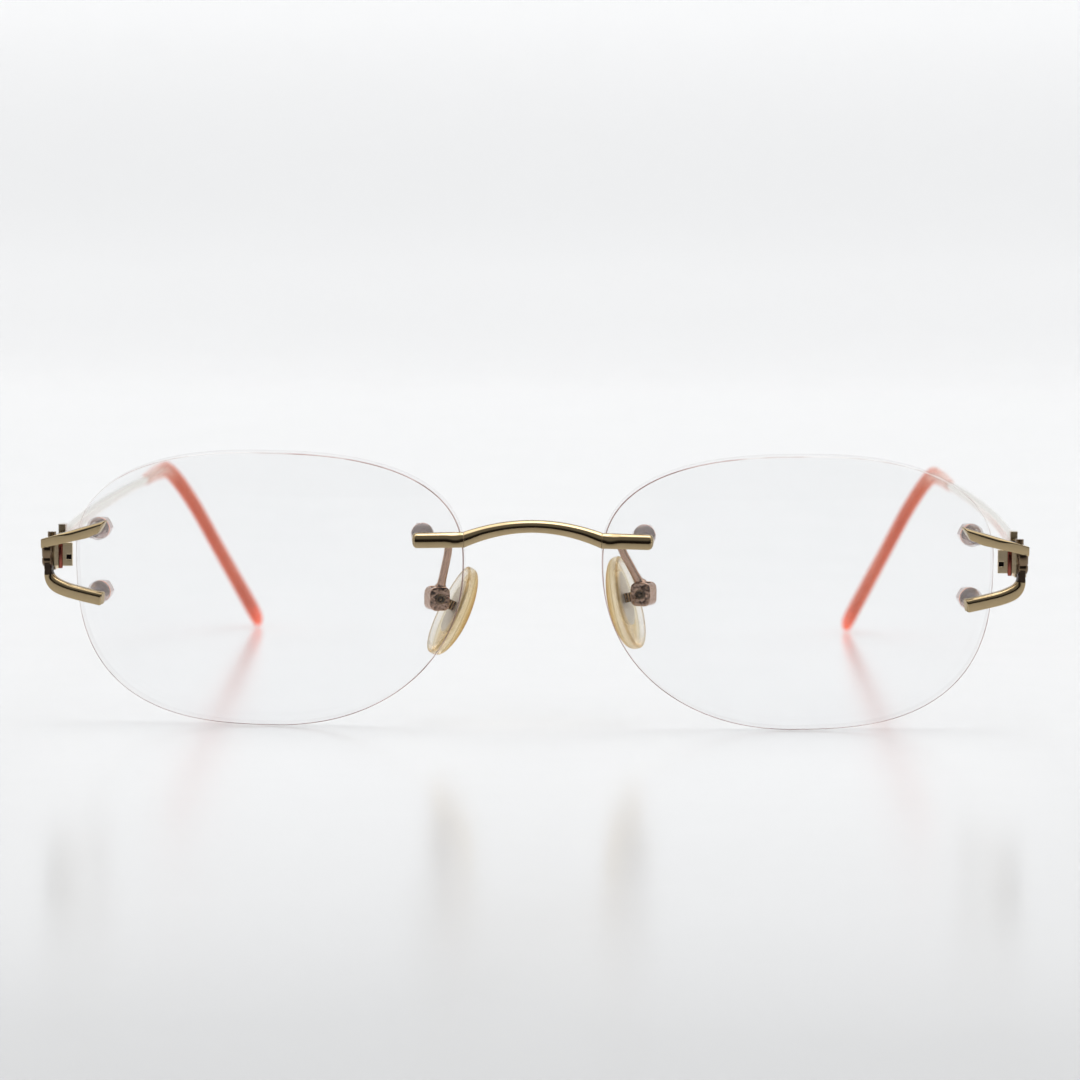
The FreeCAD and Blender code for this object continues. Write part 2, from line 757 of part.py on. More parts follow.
def make_fork():
    """Two-armed end piece: a raked upper arm, a short spine, a thin neck and a bent lower arm."""
    body = doc.addObject("PartDesign::Body", "fork_body")
    inner_top = "dims.arm_top + dims.arm_slope * (dims.fork_out + dims.fork_in)"
    rake_top = "dims.arm_top + dims.arm_slope * (dims.fork_out + dims.fork_in - dims.fork_rake)"
    under_in = rake_top + " - dims.arm_high_in"
    under_out = "dims.arm_top - dims.arm_high_out"
    at_spine = "(dims.fork_out - dims.spine_in) / (dims.fork_out + dims.fork_in - dims.fork_rake)"
    under_spine = f"({under_out}) + (({under_in}) - ({under_out})) * {at_spine}"
    low_at_neck = "dims.low_top + dims.low_slope * (dims.low_in + {0})"
    sketch = outline(body, "fork_outline", [
        ("dims.fork_out", "dims.arm_top"),
        ("-dims.fork_in", inner_top),
        ("-dims.fork_in + dims.fork_rake", under_in),
        ("dims.spine_in", under_spine),
        ("dims.spine_in", "dims.spine_foot"),
        ("dims.neck_in", "dims.spine_foot"),
        ("dims.neck_in", low_at_neck.format("dims.neck_in")),
        ("-dims.low_in", "dims.low_top"),
        ("-dims.low_in - 0.3", "dims.low_top - dims.low_high"),
        ("dims.neck_out", low_at_neck.format("dims.neck_out") + " - dims.low_high"),
        ("dims.neck_out", "dims.spine_foot - 0.75"),
        ("dims.spine_out", "dims.spine_foot + 0.35"),
        ("dims.spine_out", under_out),
        ("dims.fork_out - 0.2", under_out),
    ])
    pad = padded(body, "fork_pad", sketch, "dims.fork_thick")
    neck_in = size("neck_in")
    neck_out = size("neck_out")
    inner_bend_z = size("low_top") + size("low_slope") * (size("low_in") + neck_in)
    outer_bend_z = size("low_top") + size("low_slope") * (size("low_in") + neck_out) - size("low_high")
    bend = rounded(
        body, "fork_outer_bend", pad,
        lambda edge, mid: abs(mid.x - neck_out) < 0.01 and abs(mid.z - outer_bend_z) < 0.01,
        "dims.low_outer_bend",
    )
    bend = rounded(
        body, "fork_inner_bend", bend,
        lambda edge, mid: abs(mid.x - neck_in) < 0.01 and abs(mid.z - inner_bend_z) < 0.01,
        "dims.low_inner_bend",
    )
    rounded(
        body, "fork_soft_edge", bend,
        lambda edge, mid: mid.y < -size("fork_thick") + 0.01,
        "dims.fork_edge",
    )
    groove = block(
        "fork_groove",
        at(size("spine_in") - 1, -size("fork_thick") - 1, 0.1),
        "3.5", "1 + dims.spine_groove", "dims.spine_groove",
    )
    grooved = cut("fork_whole", body, groove)
    grooved.Placement = TEMPLE_HOLES * at(0, -size("gap"), 0)
    return grooved


# ---------------------------------------------------------------- hinges

HINGE = WORLD * at(size("hinge_x"), size("hinge_y"), 0)
HINGE_TALL = size("hinge_top") - size("hinge_foot")


def make_front_leaf():
    """Hinge leaf brazed behind the fork spine: a plate, two knuckles on webs and a small square pocket."""
    third = HINGE_TALL / 3
    front = size("leaf_front")
    inner = size("hinge_x") - size("leaf_reach")
    pieces = [
        block(
            "leaf_plate", WORLD * at(inner, front, size("hinge_foot") + size("leaf_step")),
            "dims.leaf_reach + dims.leaf_past_pin", "dims.leaf_thick",
            "dims.hinge_top - dims.hinge_foot - dims.leaf_step - dims.leaf_top_gap",
        )
    ]
    for name, z in (("low", size("hinge_foot")), ("high", size("hinge_top") - third)):
        pieces.append(
            upright(f"leaf_knuckle_{name}", HINGE * at(0, 0, z), "dims.barrel_radius",
                    "(dims.hinge_top - dims.hinge_foot) / 3")
        )
        reach = size("hinge_y") - front - 0.1
        pieces.append(
            block(f"leaf_web_{name}", HINGE * at(-size("barrel_radius") + size("web_inset"), -reach, z),
                  "2 * (dims.barrel_radius - dims.web_inset)", "dims.hinge_y - dims.leaf_front - 0.1",
                  "(dims.hinge_top - dims.hinge_foot) / 3")
        )
    bore = upright("leaf_bore", HINGE * at(0, 0, size("hinge_foot") - 1), "dims.pin_radius + 0.02",
                   "dims.hinge_top - dims.hinge_foot + 2")
    window = block(
        "leaf_window", WORLD * at(inner + 0.12, front - 1, size("window_foot")),
        "dims.window_side", "1 + dims.window_deep", "dims.window_side",
    )
    return cut("front_leaf", fuse("leaf_whole", pieces), fuse("leaf_tools", [bore, window]))


def make_temple_leaf():
    """Middle knuckle and the strip that joins it to the inside of the temple bar."""
    third = HINGE_TALL / 3
    foot = size("hinge_foot") + third + size("knuckle_play")
    knuckle = upright(
        "temple_knuckle", HINGE * at(0, 0, foot), "dims.barrel_radius",
        "(dims.hinge_top - dims.hinge_foot) / 3 - 2 * dims.knuckle_play",
    )
    strip = block(
        "temple_strip", HINGE * at(-size("barrel_radius"), 0, foot),
        "0.8", "6.5", "(dims.hinge_top - dims.hinge_foot) / 3 - 2 * dims.knuckle_play",
    )
    bore = upright("temple_bore", HINGE * at(0, 0, foot - 1), "dims.pin_radius + dims.pin_play", "5")
    return cut("temple_leaf", fuse("temple_leaf_whole", [knuckle, strip]), bore)


def make_hinge_screw():
    """Screw down the hinge barrel, with a slotted head standing on top."""
    shank = upright(
        "hinge_shank", HINGE * at(0, 0, size("hinge_foot") + 0.1), "dims.pin_radius",
        "dims.hinge_top - dims.hinge_foot + 0.1",
    )
    head = upright(
        "hinge_head", HINGE * at(0, 0, size("hinge_top") + size("gap")), "dims.pin_head_radius",
        "dims.pin_head_high",
    )
    slot = block(
        "hinge_slot", HINGE * at(-1, -0.09, size("hinge_top") + size("pin_head_high") - 0.2),
        "2", "0.18", "1",
    )
    return cut("hinge_screw", fuse("hinge_screw_blank", [shank, head]), slot)


# ---------------------------------------------------------------- temples

# Centre line of the tip as (x, distance behind the front datum, z): level, then down behind the ear.
TIP_PATH = [
    (63.0, 87.0, 27.7),
    (62.0, 96.0, 28.3),
    (60.9, 103.0, 27.8),
    (58.1, 110.5, 22.4),
    (54.2, 119.3, 13.1),
    (50.3, 128.0, 3.8),
    (49.0, 131.0, 0.5),
]
# Centre line of the core wire, which stops short of the end of the tip.
CORE_PATH = TIP_PATH[:-1]
# Heights of the bar's centre line at its hinge end, at the collar and in the middle.
BAR_UP = (23.35, 23.95, 25.75)
# How far along the bar each section stands, and its height as a share of the full height.
BAR_SECTIONS = [(0.0, 1.25), (0.3, 1.15), (0.6, 1.0), (0.85, 0.85), (1.0, 0.7)]
# How far along the tip each section stands, and its width and height.
TIP_SECTIONS = [
    (0.0, 1.7, 2.1),
    (0.14, 1.8, 2.5),
    (0.28, 1.8, 2.7),
    (0.45, 1.8, 2.9),
    (0.65, 1.8, 3.1),
    (0.85, 1.8, 3.4),
    (0.96, 1.6, 2.8),
    (1.0, 0.9, 1.2),
]
TIP_ROUNDING = 0.46


def along(curve, share):
    """Frame on a curve: +Z along it and +X towards the outside of the head."""
    here = curve.FirstParameter + share * (curve.LastParameter - curve.FirstParameter)
    forward = curve.tangent(here)[0]
    return Placement(curve.value(here), Rotation(X_AXIS, Vector(), forward, "ZXY"))


def make_temple():
    """Metal temple: a bar that thins towards the back, an upright collar and a round core for the tip."""
    front_x = size("hinge_x") + size("bar_out")
    front_up, collar_up, middle_up = BAR_UP
    path = smooth_curve([
        (front_x, size("bar_start"), front_up),
        (front_x + 0.1, size("collar_back"), collar_up),
        (front_x - 0.7, size("bar_middle"), middle_up),
        TIP_PATH[0],
    ])
    wires = []
    for share, scale in BAR_SECTIONS:
        wide = size("bar_wide") * (0.75 + 0.2 * scale)
        frame = WORLD * along(path, share)
        wires.append(bar_wire(wide, size("bar_high") * scale, size("bar_corner"), frame))
    bar = loft("bar_blade", wires)
    collar = block(
        "bar_collar",
        WORLD * at(front_x - size("collar_wide") / 2 - 0.1, size("collar_back"), size("collar_foot")),
        "dims.collar_wide", "dims.collar_long", "dims.collar_high",
    )
    core = wire_rod("bar_core", smooth_curve(CORE_PATH), "dims.core_radius", WORLD)
    return fuse("temple_whole", [bar, collar, core])


def make_tip():
    """Acetate sleeve over the core, bent down behind the ear and ending in a soft paddle."""
    curve = smooth_curve(TIP_PATH)
    wires = [
        bar_wire(wide, high, min(wide, high) * TIP_ROUNDING, WORLD * along(curve, share))
        for share, wide, high in TIP_SECTIONS
    ]
    sleeve = loft("tip_sleeve", wires)
    room = wire_rod("tip_room", smooth_curve(CORE_PATH), "dims.core_radius + dims.tip_wall_play", WORLD)
    return cut("tip_whole", sleeve, room)


# ---------------------------------------------------------------- assembly

lens = node(make_lens(), "lens_left")
mirrored(lens, "lens_right")
for maker, word in (
    (make_studs, "lens_studs"),
    (make_bushes, "lens_bushes"),
    (make_washers, "lens_washers"),
    (make_nuts, "lens_nuts"),
    (make_strap, "bridge_strap"),
    (make_fork, "fork_endpiece"),
    (make_front_leaf, "front_hinge_leaf"),
    (make_temple_leaf, "temple_hinge_leaf"),
    (make_hinge_screw, "hinge_screw"),
    (make_temple, "temple_bar"),
    (make_tip, "temple_tip"),
):
    left = node(maker(), word + "_left")
    mirrored(left, word + "_right")
node(make_bridge(), "nose_bridge")
make_pad_set(1, "left")
make_pad_set(-1, "right")
doc.recompute()

for thing in doc.Objects:
    if "Invalid" in thing.State or "Error" in thing.State:
        raise RuntimeError(f"{thing.Label} did not compute: {thing.State}")
for thing in nodes:
    if thing.Shape.isNull() or not thing.Shape.isValid():
        raise RuntimeError(f"{thing.Label} has a bad shape")
    thing.Shape.exportStep(f"parts/{thing.Label}.step")
    box = thing.Shape.BoundBox
    print(
        f"{thing.Label:28s} solids {len(thing.Shape.Solids)} volume {thing.Shape.Volume:9.3f}"
        f"  x {box.XMin:8.2f} {box.XMax:8.2f}  y {box.YMin:8.2f} {box.YMax:8.2f}  z {box.ZMin:7.2f} {box.ZMax:7.2f}"
    )
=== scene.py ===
"""Rimless eyeglasses standing open on a glossy white table.

Metres, in the frame of the CAD row: +X is the wearer's left, +Y runs from the lenses to the temple tips.
"""
import math

import bmesh
import bpy
from mathutils import Matrix, Vector


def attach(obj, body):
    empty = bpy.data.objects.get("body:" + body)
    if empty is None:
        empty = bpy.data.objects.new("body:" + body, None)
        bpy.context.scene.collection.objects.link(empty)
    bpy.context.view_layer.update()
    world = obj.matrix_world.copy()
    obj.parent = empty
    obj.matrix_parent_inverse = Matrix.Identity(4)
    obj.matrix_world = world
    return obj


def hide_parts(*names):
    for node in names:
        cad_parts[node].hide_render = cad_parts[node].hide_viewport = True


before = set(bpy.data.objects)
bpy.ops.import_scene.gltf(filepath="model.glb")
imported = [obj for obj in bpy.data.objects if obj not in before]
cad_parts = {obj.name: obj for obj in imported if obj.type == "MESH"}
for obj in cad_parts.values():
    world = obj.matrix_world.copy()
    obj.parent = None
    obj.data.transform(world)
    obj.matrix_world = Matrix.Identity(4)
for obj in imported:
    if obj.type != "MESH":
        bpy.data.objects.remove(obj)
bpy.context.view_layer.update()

MM = 0.001
SIDES = (("left", 1), ("right", -1))

# Driving sizes in millimetres, after the solid model's.
FRONT_Y = -64.8
LENS_CENTRE_UP = 19.08
LENS_CENTRE_OUT = 36.4
LENS_TILT = 8.0
LENS_WRAP = 4.5
LENS_HALF_WIDE = 26.8
LENS_BELT_UP = 3.83
LENS_ABOVE_BELT = 15.0
LENS_BELOW_BELT = 23.3
LENS_THICK = 2.0
LENS_RADIUS = 106.0
LENS_ROUNDNESS = {(1, 1): 2.33, (-1, 1): 2.48, (1, -1): 2.83, (-1, -1): 2.16}
NOSE_HOLE = (-21.5, 7.5)
TEMPLE_HOLE = (24.6, 2.45)
TEMPLE_HOLE_APART = 8.9
LENS_HOLE_RADIUS = 0.95
PAD_BACK = 9.0
PAD_SPLAY = 23.0
PAD_PLACES = {"left": (15.1, 18.2, 15.0), "right": (13.4, 17.35, 26.0)}
PAD_LONG = 13.1
PAD_WIDE = 7.2
PAD_THICK = 2.4
PAD_DROP = 0.65
PAD_STEM = 2.15
PAD_DEEP_ROOT = 60.0
BOX_HIGH = 3.3
BOX_DEEP = 2.5
GAP = 0.04
STRAP_IN = 5.3
STRAP_OUT = 1.67
STRAP_HIGH = 2.0
STRAP_THICK = 1.25
STRAP_DROP = 0.35
BRIDGE_RISE = 1.85
BRIDGE_BOW = 0.6
BRIDGE_MID_HIGH = 1.62
LUG_WIDE = 0.7
LUG_HIGH = 1.5
LUG_DEEP = 5.4
ARM_RADIUS = 0.55
ARM_SHOULDER_OUT = 11.5
ARM_FOOT_IN = 0.45
FORK_THICK = 1.3
FORK_OUT = 6.9
FORK_IN = 2.5
FORK_RAKE = 0.95
FORK_TOP = 3.14
FORK_SLOPE = 0.339
FORK_HIGH_IN = 1.85
FORK_HIGH_OUT = 1.3
SPINE_IN = 5.55
SPINE_OUT = 7.0
SPINE_FOOT = -0.43
NECK_MIDDLE = 5.97
NECK_FOOT = -1.75
LOW_IN = 1.72
LOW_TOP = -3.7
LOW_SLOPE = 0.15
LOW_HIGH = 1.8
LEAF_FRONT = 6.5
HINGE_X = 66.65
HINGE_FOOT = 21.1
HINGE_TOP = 25.2
LEAF_REACH = 3.1


# ---- frames

def turn(axis, degrees):
    return Matrix.Rotation(math.radians(degrees), 4, axis)


def shift(x, y, z):
    return Matrix.Translation(Vector((x, y, z)))


def mirror(side):
    """Identity for the wearer's left, a flip of x for the right."""
    return Matrix.Diagonal((side, 1, 1, 1))


FRONT = shift(0, FRONT_Y, LENS_CENTRE_UP) @ turn("X", LENS_TILT)
LENS = FRONT @ shift(LENS_CENTRE_OUT, 0, 0) @ turn("Z", LENS_WRAP)
WORLD = shift(0, FRONT_Y, 0)


def lens_depth(out, up, radius=LENS_RADIUS):
    """How far a point of a lens surface lies behind the surface's foremost point."""
    return radius - math.sqrt(radius**2 - out**2 - up**2)


def on_lens(out, up):
    """Frame on the lens's front surface whose +Y runs into the lens."""
    point = Vector((out, lens_depth(out, up), up))
    inward = Vector((0, LENS_RADIUS, 0)) - point
    lean = Vector((0, 1, 0)).rotation_difference(inward)
    return LENS @ Matrix.Translation(point) @ lean.to_matrix().to_4x4()


# ---- mesh building

def put(name, data):
    """New object in the scene that holds the data."""
    made = bpy.data.objects.new(name, data)
    bpy.context.scene.collection.objects.link(made)
    return made


def add_mesh(name, vertices, faces, body, materials, place):
    """Mesh from millimetre points, moved by a millimetre frame, riding on a CAD body."""
    mesh = bpy.data.meshes.new(name)
    mesh.from_pydata([place @ Vector(v) * MM for v in vertices], [], faces)
    made = put(name, mesh)
    tidy_normals(made)
    for polygon in mesh.polygons:
        polygon.use_smooth = True
    for material in materials:
        mesh.materials.append(material)
    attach(made, body)
    return made


def tidy_normals(made):
    """Merge points that coincide and turn every face outwards."""
    work = bmesh.new()
    work.from_mesh(made.data)
    bmesh.ops.remove_doubles(work, verts=work.verts, dist=1e-8)
    bmesh.ops.recalc_face_normals(work, faces=work.faces)
    work.to_mesh(made.data)
    work.free()


def ring_faces(rings, count):
    """Quads between successive rings of the same number of points, with one face over each end."""
    faces = []
    for r in range(rings - 1):
        for i in range(count):
            j = (i + 1) % count
            faces.append((r * count + i, r * count + j, (r + 1) * count + j, (r + 1) * count + i))
    faces.append(tuple(range(count)))
    faces.append(tuple((rings - 1) * count + i for i in range(count)))
    return faces


def faces_since(vertices, first, rings):
    """Faces over the rings that were added to vertices from index first on."""
    count = (len(vertices) - first) // rings
    return [tuple(first + i for i in face) for face in ring_faces(rings, count)]


def local_spots(points, place):
    """Mesh points in metres, as millimetre points of a frame."""
    back = place.inverted()
    return [back @ (point / MM) for point in points]


def vertex_spots(made, place):
    return local_spots([vertex.co for vertex in made.data.vertices], place)


def mark(made, place, index, test, start=0):
    """Give material slot index to the faces from start on whose centre passes the test."""
    polygons = made.data.polygons[start:]
    for polygon, spot in zip(polygons, local_spots([p.center for p in polygons], place)):
        if test(spot):
            polygon.material_index = index


def spline(points, steps):
    """Smooth path through points, as evenly parameterised samples."""
    points = [Vector(p) for p in points]
    padded = [points[0] * 2 - points[1]] + points + [points[-1] * 2 - points[-2]]
    samples = []
    for i in range(1, len(padded) - 2):
        a, b, c, d = padded[i - 1 : i + 3]
        for k in range(steps):
            t = k / steps
            samples.append(
                0.5 * ((2 * b) + (c - a) * t + (2 * a - 5 * b + 4 * c - d) * t**2
                       + (3 * b - a - 3 * c + d) * t**3)
            )
    samples.append(points[-1])
    return samples


def rounded_section(count, roundness):
    """Points of a unit super-ellipse."""
    points = []
    for i in range(count):
        angle = 2 * math.pi * i / count
        c = math.cos(angle)
        s = math.sin(angle)
        points.append((
            math.copysign(abs(c) ** (2 / roundness), c),
            math.copysign(abs(s) ** (2 / roundness), s),
        ))
    return points


def sweep(path, section, sizes, across=Vector((1, 0, 0))):
    """Rings of a section along a path; sizes(share) gives half width and half height."""
    vertices = []
    last = len(path) - 1
    for k, point in enumerate(path):
        ahead = path[min(k + 1, last)] - path[max(k - 1, 0)]
        forward = ahead.normalized()
        right = (across - forward * across.dot(forward)).normalized()
        up = forward.cross(right)
        half_wide, half_high = sizes(k / last)
        for x, y in section:
            vertices.append(point + right * (x * half_wide) + up * (y * half_high))
    return vertices


BAR_FOOT = 0.14
BAR_CORNER = 0.15
BAR_CORNER_CUT = 0.045
BAR_FOOT_STEPS = 4
SHOULDER_STEPS = 16
SHOULDER_DEEPEST = 0.8


def bar_section(bottom, top, thick, crown, flatten=0.0):
    """Bar outline as (depth, height): flat lower front, rounded shoulder above, square back.

    flatten turns the round shoulder towards a plain slanted facet.
    """
    points = []
    for k in range(BAR_FOOT_STEPS + 1):
        t = math.pi / 2 * k / BAR_FOOT_STEPS
        points.append((BAR_FOOT * (1 - math.sin(t)), bottom + BAR_FOOT * (1 - math.cos(t))))
    depth = min(thick * SHOULDER_DEEPEST, crown)
    start = top - crown
    for k in range(SHOULDER_STEPS + 1):
        share = k / SHOULDER_STEPS
        t = math.pi / 2 * share
        d = depth * (1 - math.cos(t))
        h = start + crown * math.sin(t)
        points.append((d + (depth * share - d) * flatten, h + (start + crown * share - h) * flatten))
    for x, y in ((BAR_CORNER, 0), (BAR_CORNER_CUT, BAR_CORNER_CUT), (0, BAR_CORNER)):
        points.append((thick - x, top - y))
    for x, y in ((0, BAR_CORNER), (BAR_CORNER_CUT, BAR_CORNER_CUT), (BAR_CORNER, 0)):
        points.append((thick - x, bottom + y))
    return points


def lathe(profile, count=40):
    """Rings of a turned shape from (radius, y) points about the Y axis."""
    vertices = []
    for radius, y in profile:
        for i in range(count):
            angle = 2 * math.pi * i / count
            vertices.append((radius * math.cos(angle), y, radius * math.sin(angle)))
    return vertices, ring_faces(len(profile), count)


def smooth_step(value, low, high):
    """Rise from 0 at low to 1 at high with level ends."""
    t = min(1.0, max(0.0, (value - low) / (high - low)))
    return t * t * (3 - 2 * t)


def paint(made, name, values):
    """Store one number per vertex for the material to read."""
    layer = made.data.attributes.new(name, "FLOAT", "POINT")
    layer.data.foreach_set("value", [float(v) for v in values])


def between(stops, share):
    """Value read off a list of (share, value...) stops."""
    for low, high in zip(stops, stops[1:]):
        if share <= high[0]:
            t = smooth_step(share, low[0], high[0])
            return tuple(a + (b - a) * t for a, b in zip(low[1:], high[1:]))
    return tuple(stops[-1][1:])


# ---- materials

class Nodes:
    """Short hand for building the node tree of a material or a world."""

    def __init__(self, owner, output="ShaderNodeOutputMaterial"):
        owner.use_nodes = True
        self.owner = owner
        self.tree = owner.node_tree
        self.tree.nodes.clear()
        self.out = self.add(output)

    def add(self, kind, **values):
        made = self.tree.nodes.new(kind)
        for key, value in values.items():
            setattr(made, key, value)
        return made

    def link(self, source, target):
        self.tree.links.new(source, target)

    def give(self, value, socket):
        """Link the socket to another socket, or set it to a number or colour."""
        if isinstance(value, bpy.types.NodeSocket):
            self.link(value, socket)
        else:
            socket.default_value = value

    def feed(self, made, **inputs):
        """Give inputs by name, with underscores for spaces."""
        for key, value in inputs.items():
            self.give(value, made.inputs[key.replace("_", " ")])
        return made

    def coordinates(self, stretch=(1, 1, 1)):
        source = self.add("ShaderNodeTexCoord")
        scaled = self.add("ShaderNodeMapping")
        self.link(source.outputs["Object"], scaled.inputs["Vector"])
        scaled.inputs["Scale"].default_value = stretch
        return scaled.outputs["Vector"]

    def noise(self, scale, detail=3.0, stretch=(1, 1, 1)):
        made = self.add("ShaderNodeTexNoise")
        self.feed(made, Vector=self.coordinates(stretch), Scale=scale, Detail=detail)
        return made.outputs["Fac"]

    def remap(self, value, low, high, start=0.0, stop=1.0):
        made = self.add("ShaderNodeMapRange")
        self.feed(made, Value=value, From_Min=start, From_Max=stop, To_Min=low, To_Max=high)
        return made.outputs["Result"]

    def painted(self, name):
        made = self.add("ShaderNodeAttribute", attribute_name=name)
        return made.outputs["Fac"]

    def ramp(self, value, stops):
        made = self.add("ShaderNodeValToRGB")
        ramp = made.color_ramp
        while len(ramp.elements) < len(stops):
            ramp.elements.new(0.5)
        for element, (place, colour) in zip(ramp.elements, stops):
            element.position = place
            element.color = (*colour, 1)
        self.link(value, made.inputs["Fac"])
        return made.outputs["Color"]

    def mix_colour(self, share, first, second):
        """Blend of two colours, each a socket or three numbers."""
        made = self.add("ShaderNodeMix", data_type="RGBA")
        self.give(share, made.inputs[0])
        for socket, value in ((made.inputs[6], first), (made.inputs[7], second)):
            self.give((*value, 1) if isinstance(value, tuple) else value, socket)
        return made.outputs[2]

    def mix_shader(self, share, first, second):
        made = self.add("ShaderNodeMixShader")
        for socket, value in zip(made.inputs, (share, first, second)):
            self.give(value, socket)
        return made.outputs[0]

    def maths(self, operation, *values):
        made = self.add("ShaderNodeMath", operation=operation)
        for socket, value in zip(made.inputs, values):
            self.give(value, socket)
        return made.outputs[0]

    def blend(self, first, share, second):
        """Share of the first value and the rest of the second."""
        rest = self.maths("MULTIPLY", second, 1 - share)
        return self.maths("ADD", self.maths("MULTIPLY", first, share), rest)

    def principled(self, **inputs):
        return self.feed(self.add("ShaderNodeBsdfPrincipled"), **inputs).outputs[0]

    def transparent(self, colour):
        return self.feed(self.add("ShaderNodeBsdfTransparent"), Color=colour).outputs[0]

    def facing(self, weight):
        """0 where the surface is seen straight on, 1 along its outline."""
        made = self.feed(self.add("ShaderNodeLayerWeight"), Blend=weight)
        return made.outputs["Facing"]

    def along_axis(self, axis):
        """X, Y or Z of the shaded point."""
        made = self.add("ShaderNodeSeparateXYZ")
        self.link(self.coordinates(), made.inputs[0])
        return made.outputs[axis]

    def bump(self, height, distance, strength=1.0, normal=None):
        made = self.add("ShaderNodeBump")
        self.feed(made, Height=height, Distance=distance, Strength=strength)
        if normal is not None:
            self.link(normal, made.inputs["Normal"])
        return made.outputs["Normal"]

    def finish(self, shader):
        self.link(shader, self.out.inputs["Surface"])
        return self.owner


def new_material(name):
    return Nodes(bpy.data.materials.new(name))


# Metres: the soft edge of every metal piece, and the y where the bars turn pale with a painted highlight.
EDGE_ROUND = 0.00012
WASHOUT_FROM = -0.043
WASHOUT_TO = -0.033


def polished_metal(name, colour, deep, roughness, grain=0.12, washed_out=None, rim=None):
    """Plated metal: softened edges, faint mottling, fine polishing lines, and a painted highlight that
    brightens the edges.

    washed_out, if given, is the paler colour of a painted washed-out highlight that takes over behind the
    hinge; rim, if given, is the colour seen at a slant.
    """
    n = new_material(name)
    edge = n.add("ShaderNodeBevel", samples=6)
    n.feed(edge, Radius=EDGE_ROUND)
    blotches = n.noise(700.0, 4.0)
    lines = n.noise(1500.0, 2.0, (0.25, 1.0, 3.0))
    specks = n.noise(5200.0, 1.0)
    tint = n.mix_colour(n.remap(blotches, 0.0, 1.0), colour, deep)
    plain = n.add("ShaderNodeNewGeometry")
    bent = n.add("ShaderNodeVectorMath", operation="DOT_PRODUCT")
    n.link(edge.outputs["Normal"], bent.inputs[0])
    n.link(plain.outputs["Normal"], bent.inputs[1])
    # edge_highlight paints a highlight: the colour turns brighter and paler where the softened edge bends
    # away from the face.
    edge_highlight = n.remap(bent.outputs["Value"], 0.35, 0.0)
    bright = n.mix_colour(edge_highlight, tint, tuple(min(1.0, c * 1.35 + 0.05) for c in colour))
    if rim:
        bright = n.mix_colour(n.remap(n.facing(0.5), 0.0, 1.0, 0.35, 0.7), bright, rim)
    # washed_out paints the highlight that washes the bars out behind the hinge.
    if washed_out:
        bright = n.mix_colour(n.remap(n.along_axis("Y"), 0.0, 1.0, WASHOUT_FROM, WASHOUT_TO), bright, washed_out)
    normal = n.bump(n.blend(lines, 0.7, specks), 0.00001, grain, edge.outputs["Normal"])
    shader = n.principled(
        Base_Color=bright,
        Metallic=1.0,
        Roughness=n.remap(blotches, roughness * 0.7, roughness * 1.4),
        Normal=normal,
    )
    return n.finish(shader)


def lens_face():
    """Clear coated lens surface: lets light straight through and mirrors a little at a slant."""
    n = new_material("lens_face")
    smears = n.noise(90.0, 4.0)
    clear = n.transparent(n.mix_colour(smears, (0.992, 0.993, 0.994), (0.972, 0.975, 0.978)))
    mirror_like = n.add("ShaderNodeBsdfGlossy")
    n.feed(mirror_like, Roughness=n.remap(smears, 0.01, 0.05), Color=(0.93, 0.96, 1.0, 1))
    slant = n.add("ShaderNodeFresnel")
    n.feed(slant, IOR=1.32)
    share = n.maths("MULTIPLY", slant.outputs[0], 0.6)
    return n.finish(n.mix_shader(share, clear, mirror_like.outputs[0]))


def lens_edge():
    """Polished lens edge: nearly clear, with a breath of frost."""
    n = new_material("lens_edge")
    bands = n.noise(240.0, 3.0)
    clear = n.transparent(n.mix_colour(bands, (0.955, 0.945, 0.948), (0.995, 0.992, 0.992)))
    frost = n.principled(
        Base_Color=n.mix_colour(bands, (0.86, 0.80, 0.80), (0.96, 0.95, 0.95)),
        Roughness=n.remap(n.noise(3000.0), 0.15, 0.4),
        Normal=n.bump(n.noise(5000.0), 0.00001, 0.3),
    )
    return n.finish(n.mix_shader(0.07, clear, frost))


def lens_chamfer():
    """Fine chamfer round the lens: a thin rosy brown line, painted refraction of the darker parts around
    it, that fades where the light is behind it.
    """
    n = new_material("lens_chamfer")
    bands = n.noise(160.0, 3.0)
    shade = n.maths("SUBTRACT", bands, n.remap(n.painted("fade"), 0.0, 0.35))
    line = n.ramp(
        shade,
        [(0.1, (0.93, 0.90, 0.89)), (0.35, (0.62, 0.48, 0.45)), (0.62, (0.34, 0.23, 0.205))],
    )
    clear = n.transparent(line)
    solid = n.principled(Base_Color=line, Roughness=n.remap(bands, 0.2, 0.4))
    return n.finish(n.mix_shader(0.5, clear, solid))


def clear_plastic():
    """Water-clear bush plastic: see-through when faced, with painted shade along its outline where it is
    seen edge on.
    """
    n = new_material("clear_plastic")
    # rim paints shade along the outline.
    rim = n.maths("POWER", n.facing(0.3), 2.2)
    cloud = n.noise(1200.0)
    water = n.mix_colour(cloud, (0.99, 0.98, 0.97), (0.92, 0.90, 0.89))
    shader = n.principled(
        Base_Color=n.mix_colour(rim, water, (0.42, 0.33, 0.30)),
        Roughness=n.remap(cloud, 0.04, 0.14),
        IOR=1.46,
        Transmission_Weight=0.4,
        Normal=n.bump(n.noise(4000.0), 0.00001, 0.2),
    )
    clear = n.transparent(n.mix_colour(rim, (0.99, 0.988, 0.988), (0.55, 0.47, 0.45)))
    return n.finish(n.mix_shader(0.72, shader, clear))


